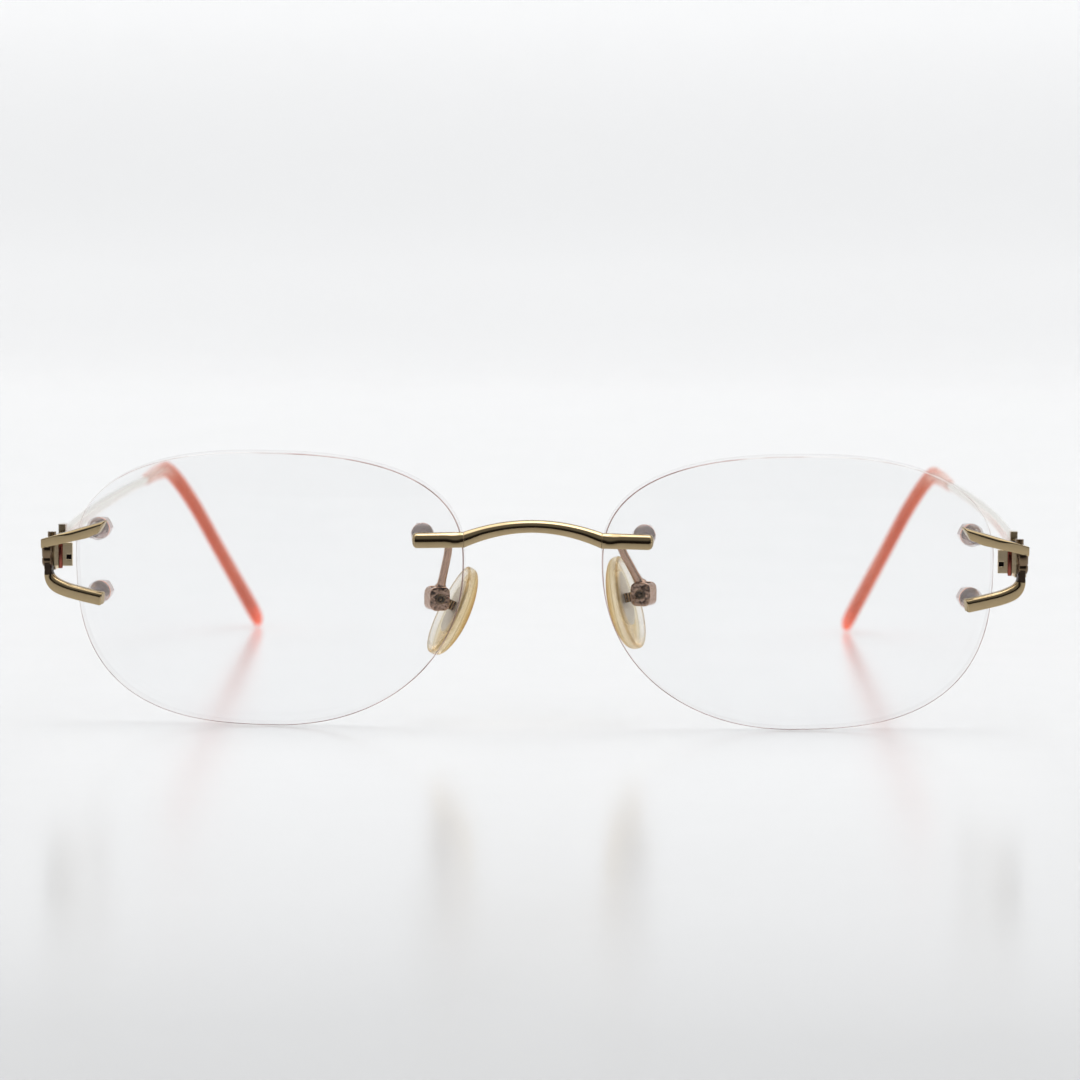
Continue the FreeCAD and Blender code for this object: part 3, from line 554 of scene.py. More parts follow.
def pad_vinyl():
    """Soft clear vinyl with painted amber towards the nose for the gold surroundings refracted through its
    thick front, painted dark rim lines, and an olive streak where the insert's edge shows.
    """
    n = new_material("pad_vinyl")
    cloud = n.noise(420.0, 3.0)
    streaks = n.noise(330.0, 2.0, (1.0, 1.0, 0.25))
    deep = n.maths("ADD", n.painted("deep"), n.remap(streaks, -0.08, 0.08))
    through = n.ramp(
        deep,
        [(0.15, (0.99, 0.985, 0.975)), (0.36, (0.95, 0.93, 0.87)), (0.43, (0.46, 0.38, 0.18)),
         (0.5, (0.90, 0.82, 0.62)), (0.62, (0.93, 0.86, 0.70)), (0.8, (0.80, 0.64, 0.38))],
    )
    # rim paints the dark amber lines that refraction draws along the pad's outline and rims.
    rim = n.maths("MAXIMUM", n.maths("POWER", n.facing(0.45), 3.0), n.painted("rim"))
    tint = n.mix_colour(rim, through, (0.58, 0.42, 0.20))
    shader = n.principled(
        Base_Color=tint,
        Roughness=n.remap(cloud, 0.03, 0.1),
        IOR=1.45,
        Transmission_Weight=0.97,
        Normal=n.bump(n.noise(1600.0), 0.00002, 0.25),
    )
    clear = n.transparent(tint)
    return n.finish(n.mix_shader(0.68, shader, clear))


def tip_acetate():
    """Translucent red-brown acetate: darker through the core wire, pale at its edges, with a faint painted
    glow that is strongest and salmon at the end, and a painted highlight washing out the front near the
    bend.
    """
    n = new_material("tip_acetate")
    streaks = n.noise(110.0, 4.0, (2.5, 0.6, 0.8))
    flecks = n.noise(600.0, 2.0, (1.5, 0.7, 0.7))
    slant = n.facing(0.35)
    pale = n.maths("ADD", n.remap(slant, 0.0, 0.45), n.remap(n.blend(streaks, 0.75, flecks), -0.2, 0.35))
    body = n.ramp(
        pale,
        [(0.1, (0.58, 0.11, 0.05)), (0.3, (0.76, 0.20, 0.10)), (0.55, (0.92, 0.40, 0.25)),
         (0.8, (0.98, 0.66, 0.52))],
    )
    # end marks the tip's far end, painted salmon and glowing: painted light.
    end = n.remap(n.painted("along"), 0.0, 1.0, 0.84, 0.95)
    colour = n.mix_colour(end, body, (1.0, 0.30, 0.20))
    shader = n.principled(
        Base_Color=colour,
        Roughness=n.remap(flecks, 0.12, 0.26),
        IOR=1.49,
        Transmission_Weight=0.35,
        Coat_Weight=0.5,
        Coat_Roughness=0.08,
        Emission_Color=(1.0, 0.2, 0.08, 1),
        Emission_Strength=n.maths("ADD", n.maths("MULTIPLY", end, 0.2), 0.05),
        Normal=n.bump(n.noise(900.0), 0.00002, 0.15),
    )
    # front fades the part near the bend to a pale see-through colour: a painted washed-out highlight.
    front = n.remap(n.painted("along"), 1.0, 0.0, 0.2, 0.42)
    through = n.mix_colour(pale, (0.92, 0.36, 0.25), (1.0, 0.88, 0.82))
    clear = n.transparent(n.mix_colour(front, through, (1.0, 0.94, 0.92)))
    share = n.maths("MAXIMUM", n.remap(slant, 0.22, 0.85), n.maths("MULTIPLY", front, 0.78))
    return n.finish(n.mix_shader(share, shader, clear))


def stem_metal():
    """Insert stem: gold, with dark rings along it that paint the shade in the grooves of its turned ribs.
    """
    n = new_material("stem_metal")
    wave = n.maths("SINE", n.maths("MULTIPLY", n.painted("along"), 15.0))
    rings = n.maths("ADD", n.remap(wave, 0.0, 1.0, -1.0, 1.0), n.remap(n.noise(1800.0), -0.2, 0.2))
    shader = n.principled(
        # The dark stop of the rings is painted shade in the grooves.
        Base_Color=n.ramp(rings, [(0.25, (0.10, 0.065, 0.04)), (0.6, (0.62, 0.42, 0.24))]),
        Metallic=1.0,
        Roughness=n.remap(n.noise(2500.0), 0.18, 0.35),
        Normal=n.bump(rings, 0.00006, 0.6),
    )
    return n.finish(shader)


def insert_metal():
    """Metal insert with a fine moulded dimple pattern."""
    n = new_material("insert_metal")
    dimples = n.add("ShaderNodeTexVoronoi")
    n.feed(dimples, Vector=n.coordinates(), Scale=2600.0)
    shader = n.principled(
        Base_Color=n.mix_colour(n.noise(900.0), (0.90, 0.87, 0.80), (0.72, 0.67, 0.58)),
        Metallic=0.5,
        Roughness=n.remap(n.noise(1500.0), 0.25, 0.45),
        Normal=n.bump(dimples.outputs["Distance"], 0.00008, 0.8),
    )
    return n.finish(shader)


# Metres: the two patches of light on the table, and the y over which it darkens forwards and glows behind.
GLOW_PLACES = ((-0.031, -0.145), (0.033, -0.150))
GLOW_HALF_WIDE = 0.030
GLOW_HALF_LONG = 0.095
NEAR_SHADE = (-0.30, -0.06)
BACK_GLOW = (0.02, 0.105)


def table_top():
    """Glossy white table: soft reflections, a hint of mottling and the light each lens throws forward."""
    n = new_material("table_top")
    cloud = n.noise(7.0, 3.0)
    spot = n.add("ShaderNodeSeparateXYZ")
    n.link(n.coordinates(), spot.inputs[0])
    glow = 0.0
    for x, y in GLOW_PLACES:
        powers = []
        for axis, middle, half in (("X", x, GLOW_HALF_WIDE), ("Y", y, GLOW_HALF_LONG)):
            off = n.maths("DIVIDE", n.maths("SUBTRACT", spot.outputs[axis], middle), half)
            powers.append(n.maths("POWER", n.maths("ABSOLUTE", off), 4.0))
        distance = n.maths("SQRT", n.maths("ADD", *powers))
        glow = n.maths("ADD", glow, n.remap(distance, 0.14, 0.0, 0.3, 1.5))
    colour = n.mix_colour(cloud, (0.845, 0.847, 0.85), (0.825, 0.827, 0.83))
    near = n.remap(spot.outputs["Y"], 0.70, 1.0, *NEAR_SHADE)
    shaded = n.add("ShaderNodeVectorMath", operation="SCALE")
    n.link(colour, shaded.inputs[0])
    n.link(near, shaded.inputs["Scale"])
    lighter = n.mix_colour(glow, shaded.outputs[0], (1.25, 1.25, 1.25))
    back = n.remap(spot.outputs["Y"], BACK_GLOW[0], BACK_GLOW[1], 0.0, 1.2)
    shader = n.principled(
        Base_Color=lighter,
        Roughness=n.remap(n.noise(30.0), 0.15, 0.2),
        Specular_IOR_Level=0.62,
        Emission_Color=(0.99, 0.985, 0.98, 1),
        Emission_Strength=back,
        Normal=n.bump(n.noise(60.0), 0.0002, 0.1),
    )
    return n.finish(shader)


GOLD = polished_metal("gold_metal", (0.475, 0.365, 0.215), (0.405, 0.307, 0.17), 0.08)
# The bar's last colour is the painted highlight that washes it out behind the hinge.
BAR = polished_metal("bar_metal", (0.44, 0.35, 0.22), (0.36, 0.28, 0.17), 0.15, 0.2, (0.87, 0.84, 0.78))
ROSE = polished_metal("rose_metal", (0.52, 0.35, 0.26), (0.33, 0.21, 0.15), 0.17, 0.35)
WASHER = polished_metal(
    "washer_metal", (0.93, 0.76, 0.70), (0.86, 0.62, 0.55), 0.1, 0.2, rim=(1.0, 0.36, 0.16)
)
NICKEL = polished_metal("nickel_metal", (0.84, 0.76, 0.74), (0.62, 0.52, 0.50), 0.12, 0.25)
# Dark brown for the hinge parts and screws: painted shade for the dark surroundings their round sides
# mirror.
SHADED_BROWN = polished_metal("shaded_brown_metal", (0.24, 0.175, 0.11), (0.12, 0.08, 0.05), 0.16, 0.35)
RUST = polished_metal("rust_metal", (0.42, 0.10, 0.07), (0.20, 0.07, 0.05), 0.2, 0.3)
PLATE = polished_metal("plate_metal", (0.90, 0.74, 0.50), (0.62, 0.49, 0.30), 0.2, 0.2)
# Black: painted shade in the hinge leaf's pocket, and the dark card that mirrors see.
BLACK_SHADE = polished_metal("black_shade_metal", (0.03, 0.022, 0.018), (0.012, 0.01, 0.01), 0.3, 0.3)
# Near black: painted shade in the fork's neck and in the screw heads' recesses.
DEEP_SHADE = polished_metal("deep_shade_metal", (0.05, 0.035, 0.024), (0.03, 0.02, 0.015), 0.14, 0.35)
LENS_FACE = lens_face()
LENS_EDGE = lens_edge()
LENS_CHAMFER = lens_chamfer()
PLASTIC = clear_plastic()
VINYL = pad_vinyl()
ACETATE = tip_acetate()
INSERT = insert_metal()
STEM = stem_metal()
TABLE = table_top()

CAD_LOOKS = {
    "lens_studs": NICKEL,
    "lens_bushes": PLASTIC,
    "lens_washers": WASHER,
    "lens_nuts": NICKEL,
    "temple_hinge_leaf": SHADED_BROWN,
    "hinge_screw": SHADED_BROWN,
    "temple_bar": BAR,
}


def dress_cad():
    """Give every CAD node that stays visible its material."""
    for name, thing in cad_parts.items():
        word = name.removesuffix("_left").removesuffix("_right")
        if word in CAD_LOOKS:
            for holder in thing.material_slots:
                holder.material = CAD_LOOKS[word]


# ---- lenses

LENS_POINTS = 288
LENS_RINGS = 20
EDGE_CHAMFER = 0.15
ON_FACE = 0.02
FADE_LIFT = 1.4
FADE_FROM = 5.0
FADE_TO = 26.0


def lens_rim(i):
    """Point i of the lens outline, in the lens frame."""
    angle = 2 * math.pi * i / LENS_POINTS
    c = math.cos(angle)
    s = math.sin(angle)
    power = LENS_ROUNDNESS[(1 if c >= 0 else -1, 1 if s >= 0 else -1)]
    rise = LENS_ABOVE_BELT if s >= 0 else LENS_BELOW_BELT
    out = math.copysign(LENS_HALF_WIDE * abs(c) ** (2 / power), c)
    up = LENS_BELT_UP + math.copysign(rise * abs(s) ** (2 / power), s)
    return out, up


def make_lens(word, side):
    """Curved lens with chamfered edges and three drilled holes; its outline fades up and outwards."""
    place = mirror(side) @ LENS
    vertices = []
    back_radius = LENS_RADIUS - LENS_THICK
    shares = [k / LENS_RINGS for k in range(1, LENS_RINGS + 1)]
    rim = [lens_rim(i) for i in range(LENS_POINTS)]

    def ring(share, inset, depth):
        for out, up in rim:
            length = math.hypot(out, up - LENS_BELT_UP)
            keep = share * (1 - inset / length)
            x = out * keep
            z = LENS_BELT_UP + (up - LENS_BELT_UP) * keep
            vertices.append((x, depth(x, z), z))

    def front(x, z):
        return lens_depth(x, z)

    def back(x, z):
        return LENS_THICK + lens_depth(x, z, back_radius)

    for share in shares[:-1]:
        ring(share, 0, front)
    ring(1, EDGE_CHAMFER, front)
    ring(1, 0, lambda x, z: front(x, z) + EDGE_CHAMFER)
    ring(1, 0, lambda x, z: back(x, z) - EDGE_CHAMFER)
    ring(1, EDGE_CHAMFER, back)
    for share in reversed(shares[:-1]):
        ring(share, 0, back)
    faces = ring_faces(len(vertices) // LENS_POINTS, LENS_POINTS)
    looks = (LENS_FACE, LENS_EDGE, LENS_CHAMFER)
    lens = add_mesh(f"lens_{word}_visual", vertices, faces, "front", looks, place)

    def under_front(spot):
        return spot.y - front(spot.x, spot.z)

    def on_edge(spot):
        over_back = back(spot.x, spot.z) - spot.y
        return min(under_front(spot), over_back) >= ON_FACE

    mark(lens, place, 1, on_edge)
    mark(lens, place, 2, lambda spot: on_edge(spot) and under_front(spot) < EDGE_CHAMFER)
    spots = vertex_spots(lens, place)
    paint(lens, "fade", [smooth_step(spot.x + spot.z * FADE_LIFT, FADE_FROM, FADE_TO) for spot in spots])
    drills = [on_lens(*NOSE_HOLE)]
    drills += [on_lens(*TEMPLE_HOLE) @ shift(0, 0, k * TEMPLE_HOLE_APART / 2) for k in (1, -1)]
    drill_holes(lens, [mirror(side) @ d for d in drills])
    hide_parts(f"lens_{word}")


def drill_holes(lens, frames):
    """Cut round holes whose axes are the frames' +Y."""
    work = bmesh.new()
    for place in frames:
        tool = place @ shift(0, LENS_THICK / 2, 0) @ turn("X", 90)
        bmesh.ops.create_cone(
            work, cap_ends=True, segments=48, radius1=LENS_HOLE_RADIUS, radius2=LENS_HOLE_RADIUS,
            depth=LENS_THICK * 3, matrix=tool,
        )
    for vertex in work.verts:
        vertex.co *= MM
    bmesh.ops.recalc_face_normals(work, faces=work.faces)
    mesh = bpy.data.meshes.new("drill")
    work.to_mesh(mesh)
    work.free()
    mesh.materials.append(LENS_EDGE)
    drill = put("drill", mesh)
    cutter = lens.modifiers.new("holes", "BOOLEAN")
    cutter.operation = "DIFFERENCE"
    cutter.solver = "EXACT"
    cutter.object = drill
    bpy.context.view_layer.update()
    cut_mesh = bpy.data.meshes.new_from_object(lens.evaluated_get(bpy.context.evaluated_depsgraph_get()))
    lens.modifiers.clear()
    lens.data = cut_mesh
    bpy.data.objects.remove(drill)


# ---- nose pads

PAD_POINTS = 72
PAD_TAPER = 0.16
# Rings of the pad from dish to dome: share of the outline and of the thickness, strength of the painted rim
# line.
PAD_RINGS = [
    (0.30, 0.20, 0), (0.60, 0.15, 0), (0.78, 0.07, 0), (0.89, 0.01, 0.1), (0.955, 0.0, 0.75),
    (0.99, 0.07, 0.9), (1.0, 0.2, 0.2), (1.0, 0.4, 0), (0.995, 0.6, 0), (0.98, 0.76, 0.2),
    (0.95, 0.88, 0.8), (0.89, 0.955, 0.5), (0.76, 0.985, 0), (0.5, 0.995, 0), (0.2, 1.0, 0),
]


def make_pad(word, side):
    """Soft teardrop pad: a rolled rim round a shallow dish at the back and a domed face to the nose."""
    out, up, lean = PAD_PLACES[word]
    place = (
        WORLD @ shift(side * out, PAD_BACK, up) @ turn("Z", -side * PAD_SPLAY) @ turn("Y", -side * lean)
        @ shift(-side * PAD_STEM, 0, -PAD_DROP)
    )
    vertices = []
    for scale, depth, _ in PAD_RINGS:
        for i in range(PAD_POINTS):
            angle = 2 * math.pi * i / PAD_POINTS
            taper = 1 - PAD_TAPER * math.sin(angle)
            y = PAD_WIDE / 2 * math.cos(angle) * taper * scale
            z = PAD_LONG / 2 * math.sin(angle) * scale
            fall = (y * y + z * z) / PAD_DEEP_ROOT
            thick = PAD_THICK - fall
            vertices.append((-side * depth * thick, y, z))
    faces = ring_faces(len(PAD_RINGS), PAD_POINTS)
    pad = add_mesh(f"nose_pad_{word}_visual", vertices, faces, f"pad_{word}", (VINYL,), place)
    spots = vertex_spots(pad, place)
    paint(pad, "deep", [smooth_step(abs(spot.x) / PAD_THICK, 0.2, 0.8) for spot in spots])
    paint(pad, "rim", [PAD_RINGS[i // PAD_POINTS][2] for i in range(len(spots))])
    smoother = pad.modifiers.new("soft", "SUBSURF")
    smoother.levels = 1
    smoother.render_levels = 2
    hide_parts(f"nose_pad_{word}")
    make_insert(word, side, place @ shift(0, 0, PAD_DROP))


def copy_node(node, body, name, looks):
    """Mesh piece that starts as a CAD node's shape and stands for that node."""
    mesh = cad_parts[node].data.copy()
    mesh.materials.clear()
    for look in looks:
        mesh.materials.append(look)
    made = put(name, mesh)
    for polygon in mesh.polygons:
        polygon.material_index = 0
    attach(made, body)
    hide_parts(node)
    return made


STEM_FROM = -0.5


def make_insert(word, side, place):
    """Metal insert in the pad: dimpled plate on a ringed stem."""
    insert = copy_node(f"pad_insert_{word}", f"pad_{word}", f"pad_insert_{word}_visual", (INSERT, STEM))
    mark(insert, place, 1, lambda spot: side * spot.x > STEM_FROM)
    paint(insert, "along", [spot.x for spot in vertex_spots(insert, place)])


BOX_VOXEL = 0.00007
BOX_LUMP_WIDE = 0.0007
BOX_LUMP_HIGH = 0.0001
SCREW_PROUD = 0.22
SCREW_END = BOX_DEEP / 2 + 0.15
# Head of the screw: radius and how far behind its face.
SCREW_HEAD = [
    (0.02, -0.02), (0.22, -0.04), (0.3, 0.08), (0.4, 0.1), (0.48, -0.08), (0.58, -0.12), (0.68, -0.06),
    (0.7, 0.35), (0.4, 0.4),
]
SCREW_RECESS = (0.23, 0.5)


def make_box(word):
    """Cast pad box with soft, slightly uneven edges."""
    box = copy_node(f"pad_box_{word}", "front", f"pad_box_{word}_visual", (ROSE,))
    skin = box.modifiers.new("skin", "REMESH")
    skin.mode = "VOXEL"
    skin.voxel_size = BOX_VOXEL
    skin.use_smooth_shade = True
    soft = box.modifiers.new("soft", "SMOOTH")
    soft.iterations = 10
    soft.factor = 0.6
    lumps = bpy.data.textures.new("lumps", "CLOUDS")
    lumps.noise_scale = BOX_LUMP_WIDE
    uneven = box.modifiers.new("uneven", "DISPLACE")
    uneven.texture = lumps
    uneven.texture_coords = "LOCAL"
    uneven.strength = BOX_LUMP_HIGH
    uneven.mid_level = 0.45


def make_screw(word, side):
    """Screw set into the box's face, painted dark brown with shade, with a ring of darker painted shade
    sunk into its head.
    """
    out, up, _ = PAD_PLACES[word]
    place = WORLD @ shift(side * out, PAD_BACK, up) @ turn("Z", -side * PAD_SPLAY)
    face = -BOX_DEEP / 2 - SCREW_PROUD
    profile = [(radius, face + behind) for radius, behind in SCREW_HEAD]
    profile += [(0.4, SCREW_END - 0.05), (0.3, SCREW_END), (0.02, SCREW_END)]
    vertices, faces = lathe(profile)
    screw = add_mesh(f"pad_screw_{word}_visual", vertices, faces, "front", (SHADED_BROWN, DEEP_SHADE), place)

    def in_recess(spot):
        return spot.y < 0 and SCREW_RECESS[0] < math.hypot(spot.x, spot.z) < SCREW_RECESS[1]

    # The ring in the recess is painted shade.
    mark(screw, place, 1, in_recess)
    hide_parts(f"pad_screw_{word}")


# ---- bridge, straps and pad arms

NOSE = on_lens(*NOSE_HOLE)
STRAP_STEPS = 33
STRAP_END = 0.75
STRAP_END_STEPS = 9
STRAP_END_ROUND = 2.6
STRAP_CROWN = 1.25
STRAP_FACET = 0.3


def make_strap(word, side):
    """Strap in front of the lens: flat below, rounded above, bullnosed at its outer end."""
    straight = STRAP_OUT - STRAP_END
    rows = []
    for k in range(STRAP_STEPS + 1):
        rows.append((-STRAP_IN + (STRAP_IN + straight) * k / STRAP_STEPS, 1.0))
    for k in range(1, STRAP_END_STEPS + 1):
        u = k / STRAP_END_STEPS
        keep = (1 - u**STRAP_END_ROUND) ** (1 / STRAP_END_ROUND)
        rows.append((straight + STRAP_END * u, max(0.04, keep)))
    vertices = []
    for x, keep in rows:
        from_seam = x + STRAP_IN
        facet = smooth_step(from_seam, 0.05, 0.9) * (1 - smooth_step(from_seam, 1.2, 2.6))
        section = bar_section(
            -STRAP_HIGH / 2, STRAP_HIGH / 2, STRAP_THICK, STRAP_CROWN, STRAP_FACET * facet
        )
        for d, h in section:
            depth = STRAP_THICK - (STRAP_THICK - d) * keep
            vertices.append((x, depth - STRAP_THICK - GAP, h * keep - STRAP_DROP))
    faces = faces_since(vertices, 0, len(rows))
    strap = add_mesh(f"bridge_strap_{word}_visual", vertices, faces, "front", (GOLD,), mirror(side) @ NOSE)
    sharpen(strap)
    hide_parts(f"bridge_strap_{word}")


def sharpen(made, degrees=40):
    """Keep hard edges hard under smooth shading."""
    work = bmesh.new()
    work.from_mesh(made.data)
    for edge in work.edges:
        if len(edge.link_faces) == 2 and edge.calc_face_angle(0.0) > math.radians(degrees):
            edge.smooth = False
    work.to_mesh(made.data)
    work.free()


BRIDGE_STEPS = 60
BRIDGE_CROWN = 1.15
BRIDGE_CROWN_LOSS = 0.2
BRIDGE_FACET = 0.2


def make_bridge():
    """Arch between the straps with the same rounded shoulder, and the two lugs behind its ends."""
    seam = NOSE @ shift(-STRAP_IN - GAP, -GAP - STRAP_THICK / 2, -STRAP_DROP)
    end = WORLD.inverted() @ seam.translation
    along_strap = seam.to_3x3() @ Vector((1, 0, 0))
    end_turn = math.degrees(math.atan2(along_strap.y, along_strap.x))
    vertices = []
    for i in range(BRIDGE_STEPS + 1):
        share = -1 + 2 * i / BRIDGE_STEPS
        lift = 1 - share**2
        high = STRAP_HIGH + (BRIDGE_MID_HIGH - STRAP_HIGH) * lift
        place = (
            shift(end.x * share, end.y + BRIDGE_BOW * lift, end.z + BRIDGE_RISE * lift)
            @ turn("Z", end_turn * share) @ turn("X", LENS_TILT / 2 + LENS_TILT / 2 * abs(share))
        )
        crown = BRIDGE_CROWN - BRIDGE_CROWN_LOSS * lift
        facet = BRIDGE_FACET * smooth_step(abs(share), 0.72, 0.95)
        for d, h in bar_section(-high / 2, high / 2, STRAP_THICK, crown, facet):
            vertices.append(place @ Vector((0, d - STRAP_THICK / 2, h)))
    faces = faces_since(vertices, 0, BRIDGE_STEPS + 1)
    for side in (1, -1):
        x = side * (end.x - GAP - LUG_WIDE / 2)
        faces += lug(vertices, x, end.y, end.z)
    bridge = add_mesh("nose_bridge_visual", vertices, faces, "front", (GOLD,), WORLD)
    sharpen(bridge)
    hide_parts("nose_bridge")


def lug(vertices, x, y, z):
    """Add a short post that runs back from the bridge; returns its faces."""
    first = len(vertices)
    section = rounded_section(16, 4.0)
    stations = [(0.6, 1.0), (LUG_DEEP * 0.5, 1.0), (LUG_DEEP - 0.25, 0.95), (LUG_DEEP, 0.7)]
    for back, keep in stations:
        for a, b in section:
            vertices.append((x + a * LUG_WIDE / 2 * keep, y + back, z + b * LUG_HIGH / 2 * keep))
    return faces_since(vertices, first, len(stations))


ARM_SHOULDER_BACK = 2.0
ARM_SHOULDER_DROP = 0.9
# Share of the way, half width and half height: flared at the lug and spread on the box.
ARM_SIZES = [
    (0.0, 0.62, 0.62), (0.08, ARM_RADIUS, ARM_RADIUS), (0.86, ARM_RADIUS, ARM_RADIUS), (0.94, 0.6, 0.6),
    (1.0, 0.95, 0.9),
]


def make_arm(word, side):
    """Bent wire from the bridge lug, out behind the strap and straight down onto the pad box."""
    seam = WORLD.inverted() @ NOSE @ shift(-STRAP_IN, -GAP - STRAP_THICK / 2, -STRAP_DROP)
    start = seam.translation + Vector((-2 * GAP - LUG_WIDE / 2, LUG_DEEP, 0))
    out, up, _ = PAD_PLACES[word]
    top = up + BOX_HIGH / 2
    foot = Vector((side * (out - ARM_FOOT_IN), PAD_BACK, top - 0.3))
    shoulder = Vector((side * ARM_SHOULDER_OUT, start.y + ARM_SHOULDER_BACK, start.z - ARM_SHOULDER_DROP))
    path = spline(
        [
            (side * start.x, start.y - 0.2, start.z),
            (side * (start.x + 0.7), start.y + 1.2, start.z - 0.2),
            shoulder,
            shoulder.lerp(foot, 0.3),
            shoulder.lerp(foot, 0.65),
            foot,
        ],
        12,
    )
    vertices = sweep(path, rounded_section(24, 2.4), lambda share: between(ARM_SIZES, share))
    faces = faces_since(vertices, 0, len(path))
    arm = add_mesh(f"pad_arm_{word}_visual", vertices, faces, "front", (ROSE,), WORLD)
    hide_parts(f"pad_arm_{word}")


# ---- fork end pieces and hinge leaves

TEMPLE = on_lens(*TEMPLE_HOLE)
UPPER_STEPS = 36
CAP_OUT = 0.12
CAP_KEEP = 0.9
OUTER_CAP_KEEP = 0.85
NECK_HIGH = 0.86


def upper_arm(vertices):
    """Raked upper arm whose rounded shoulder dies out towards its outer end."""
    first = len(vertices)
    for k in range(-1, UPPER_STEPS + 2):
        share = min(1.0, max(0.0, k / UPPER_STEPS))
        x = -FORK_IN + (FORK_OUT + FORK_IN) * share
        top = FORK_TOP + FORK_SLOPE * (FORK_OUT - x)
        high = FORK_HIGH_IN + (FORK_HIGH_OUT - FORK_HIGH_IN) * share
        crown = 0.62 - 0.5 * smooth_step(share, 0.5, 0.85)
        keep = 1.0
        if k < 0:
            x -= CAP_OUT
            keep = CAP_KEEP
        if k > UPPER_STEPS:
            x += CAP_OUT
            keep = OUTER_CAP_KEEP
        for d, h in bar_section(top - high, top, FORK_THICK, crown):
            middle = top - high / 2
            rise = (h - (top - high)) / high
            slant = FORK_RAKE * (1 - rise) * (1 - smooth_step(share, 0.0, 0.3))
            depth = FORK_THICK - (FORK_THICK - d) * keep
            vertices.append((x + slant, depth - FORK_THICK - GAP, middle + (h - middle) * keep))
    return faces_since(vertices, first, UPPER_STEPS + 3)


def low_middle(x):
    """Height of the lower arm's middle line before it turns up."""
    return LOW_TOP + LOW_SLOPE * (LOW_IN + x) - LOW_HIGH / 2


def lower_arm(vertices):
    """Neck that drops from the spine, turns and runs inwards as the lower arm."""
    first = len(vertices)
    corner = low_middle(NECK_MIDDLE)
    path = spline(
        [
            (-LOW_IN - 0.15, 0, low_middle(-LOW_IN)),
            (1.0, 0, low_middle(1.0)),
            (3.4, 0, low_middle(3.4) + 0.08),
            (5.1, 0, corner + 0.35),
            (NECK_MIDDLE - 0.05, 0, corner + 1.4),
            (NECK_MIDDLE + 0.05, 0, corner + 2.6),
            (NECK_MIDDLE + 0.1, 0, SPINE_FOOT + 0.3),
        ],
        9,
    )
    last = len(path) - 1
    for k in range(-1, last + 1):
        i = max(0, k)
        share = i / last
        forward = (path[min(i + 1, last)] - path[max(i - 1, 0)]).normalized()
        normal = Vector((-forward.z, 0, forward.x))
        high = LOW_HIGH + (NECK_HIGH - LOW_HIGH) * smooth_step(share, 0.42, 0.82)
        crown = min(0.7, high * 0.55)
        spot = path[i]
        keep = 1.0
        if k < 0:
            spot = spot - forward * CAP_OUT
            keep = CAP_KEEP
        for d, h in bar_section(-high / 2, high / 2, FORK_THICK, crown):
            depth = FORK_THICK - (FORK_THICK - d) * keep
            point = spot + normal * (h * keep)
            vertices.append((point.x, depth - FORK_THICK - GAP, point.z))
    return faces_since(vertices, first, last + 2)


def spine(vertices):
    """Upright barrel below the outer end of the upper arm, waisted where its knuckles meet."""
    first = len(vertices)
    middle = (SPINE_IN + SPINE_OUT) / 2
    half = (SPINE_OUT - SPINE_IN) / 2
    top = FORK_TOP - FORK_HIGH_OUT + 0.35
    foot = SPINE_FOOT - 0.35
    joint = (top + foot) / 2 - 0.15
    stations = [
        (top, 0.9), (top - 0.1, 1.0), (joint + 0.16, 1.0), (joint + 0.05, 0.9), (joint - 0.05, 0.9),
        (joint - 0.16, 1.0), (foot + 0.55, 1.0), (foot + 0.2, 0.85), (foot, 0.55),
    ]
    section = rounded_section(28, 2.2)
    for z, keep in stations:
        for a, b in section:
            depth = -GAP - FORK_THICK / 2 + b * FORK_THICK / 2 * keep
            vertices.append((middle + a * half * keep, depth, z))
    return faces_since(vertices, first, len(stations))


def make_fork(word, side):
    """Forked end piece in one mesh: two gold arms, the barrel between them darker with painted shade, and
    the neck painted dark as shade.
    """
    place = mirror(side) @ TEMPLE
    vertices = []
    faces = upper_arm(vertices)
    faces += lower_arm(vertices)
    arm_faces = len(faces)
    faces += spine(vertices)
    fork = add_mesh(f"fork_endpiece_{word}_visual", vertices, faces, "front", (GOLD, SHADED_BROWN, DEEP_SHADE), place)
    # The neck takes the deep painted shade.
    mark(fork, place, 2, lambda spot: NECK_FOOT < spot.z < SPINE_FOOT + 0.4 and spot.x > SPINE_IN - 0.6)
    # The barrel faces take the shaded brown: painted shade.
    mark(fork, place, 1, lambda spot: True, arm_faces)
    sharpen(fork)
    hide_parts(f"fork_endpiece_{word}")


LEAF_IN = HINGE_X - LEAF_REACH
POCKET_SKIN = 0.05
POCKET_WIDE = 0.9
POCKET_DEEP = 0.65
POCKET_FOOT = 22.5
POCKET_TOP = 23.3
WEB_IN = 1.5
WEB_HALF_WIDE = 0.3
WEB_HALF_DEEP = 0.4


def in_pocket(spot):
    """Whether a millimetre point of the left side lies on the walls of the leaf's square pocket."""
    across = LEAF_IN + POCKET_SKIN < spot.x < LEAF_IN + POCKET_WIDE
    deep = LEAF_FRONT + POCKET_SKIN < spot.y < LEAF_FRONT + POCKET_DEEP
    return across and deep and POCKET_FOOT < spot.z < POCKET_TOP


def make_leaf(word, side):
    """Front hinge leaf with painted shade darkening its pocket."""
    leaf = copy_node(f"front_hinge_leaf_{word}", "front", f"front_hinge_leaf_{word}_visual", (PLATE, BLACK_SHADE))
    mark(leaf, mirror(side) @ WORLD, 1, in_pocket)


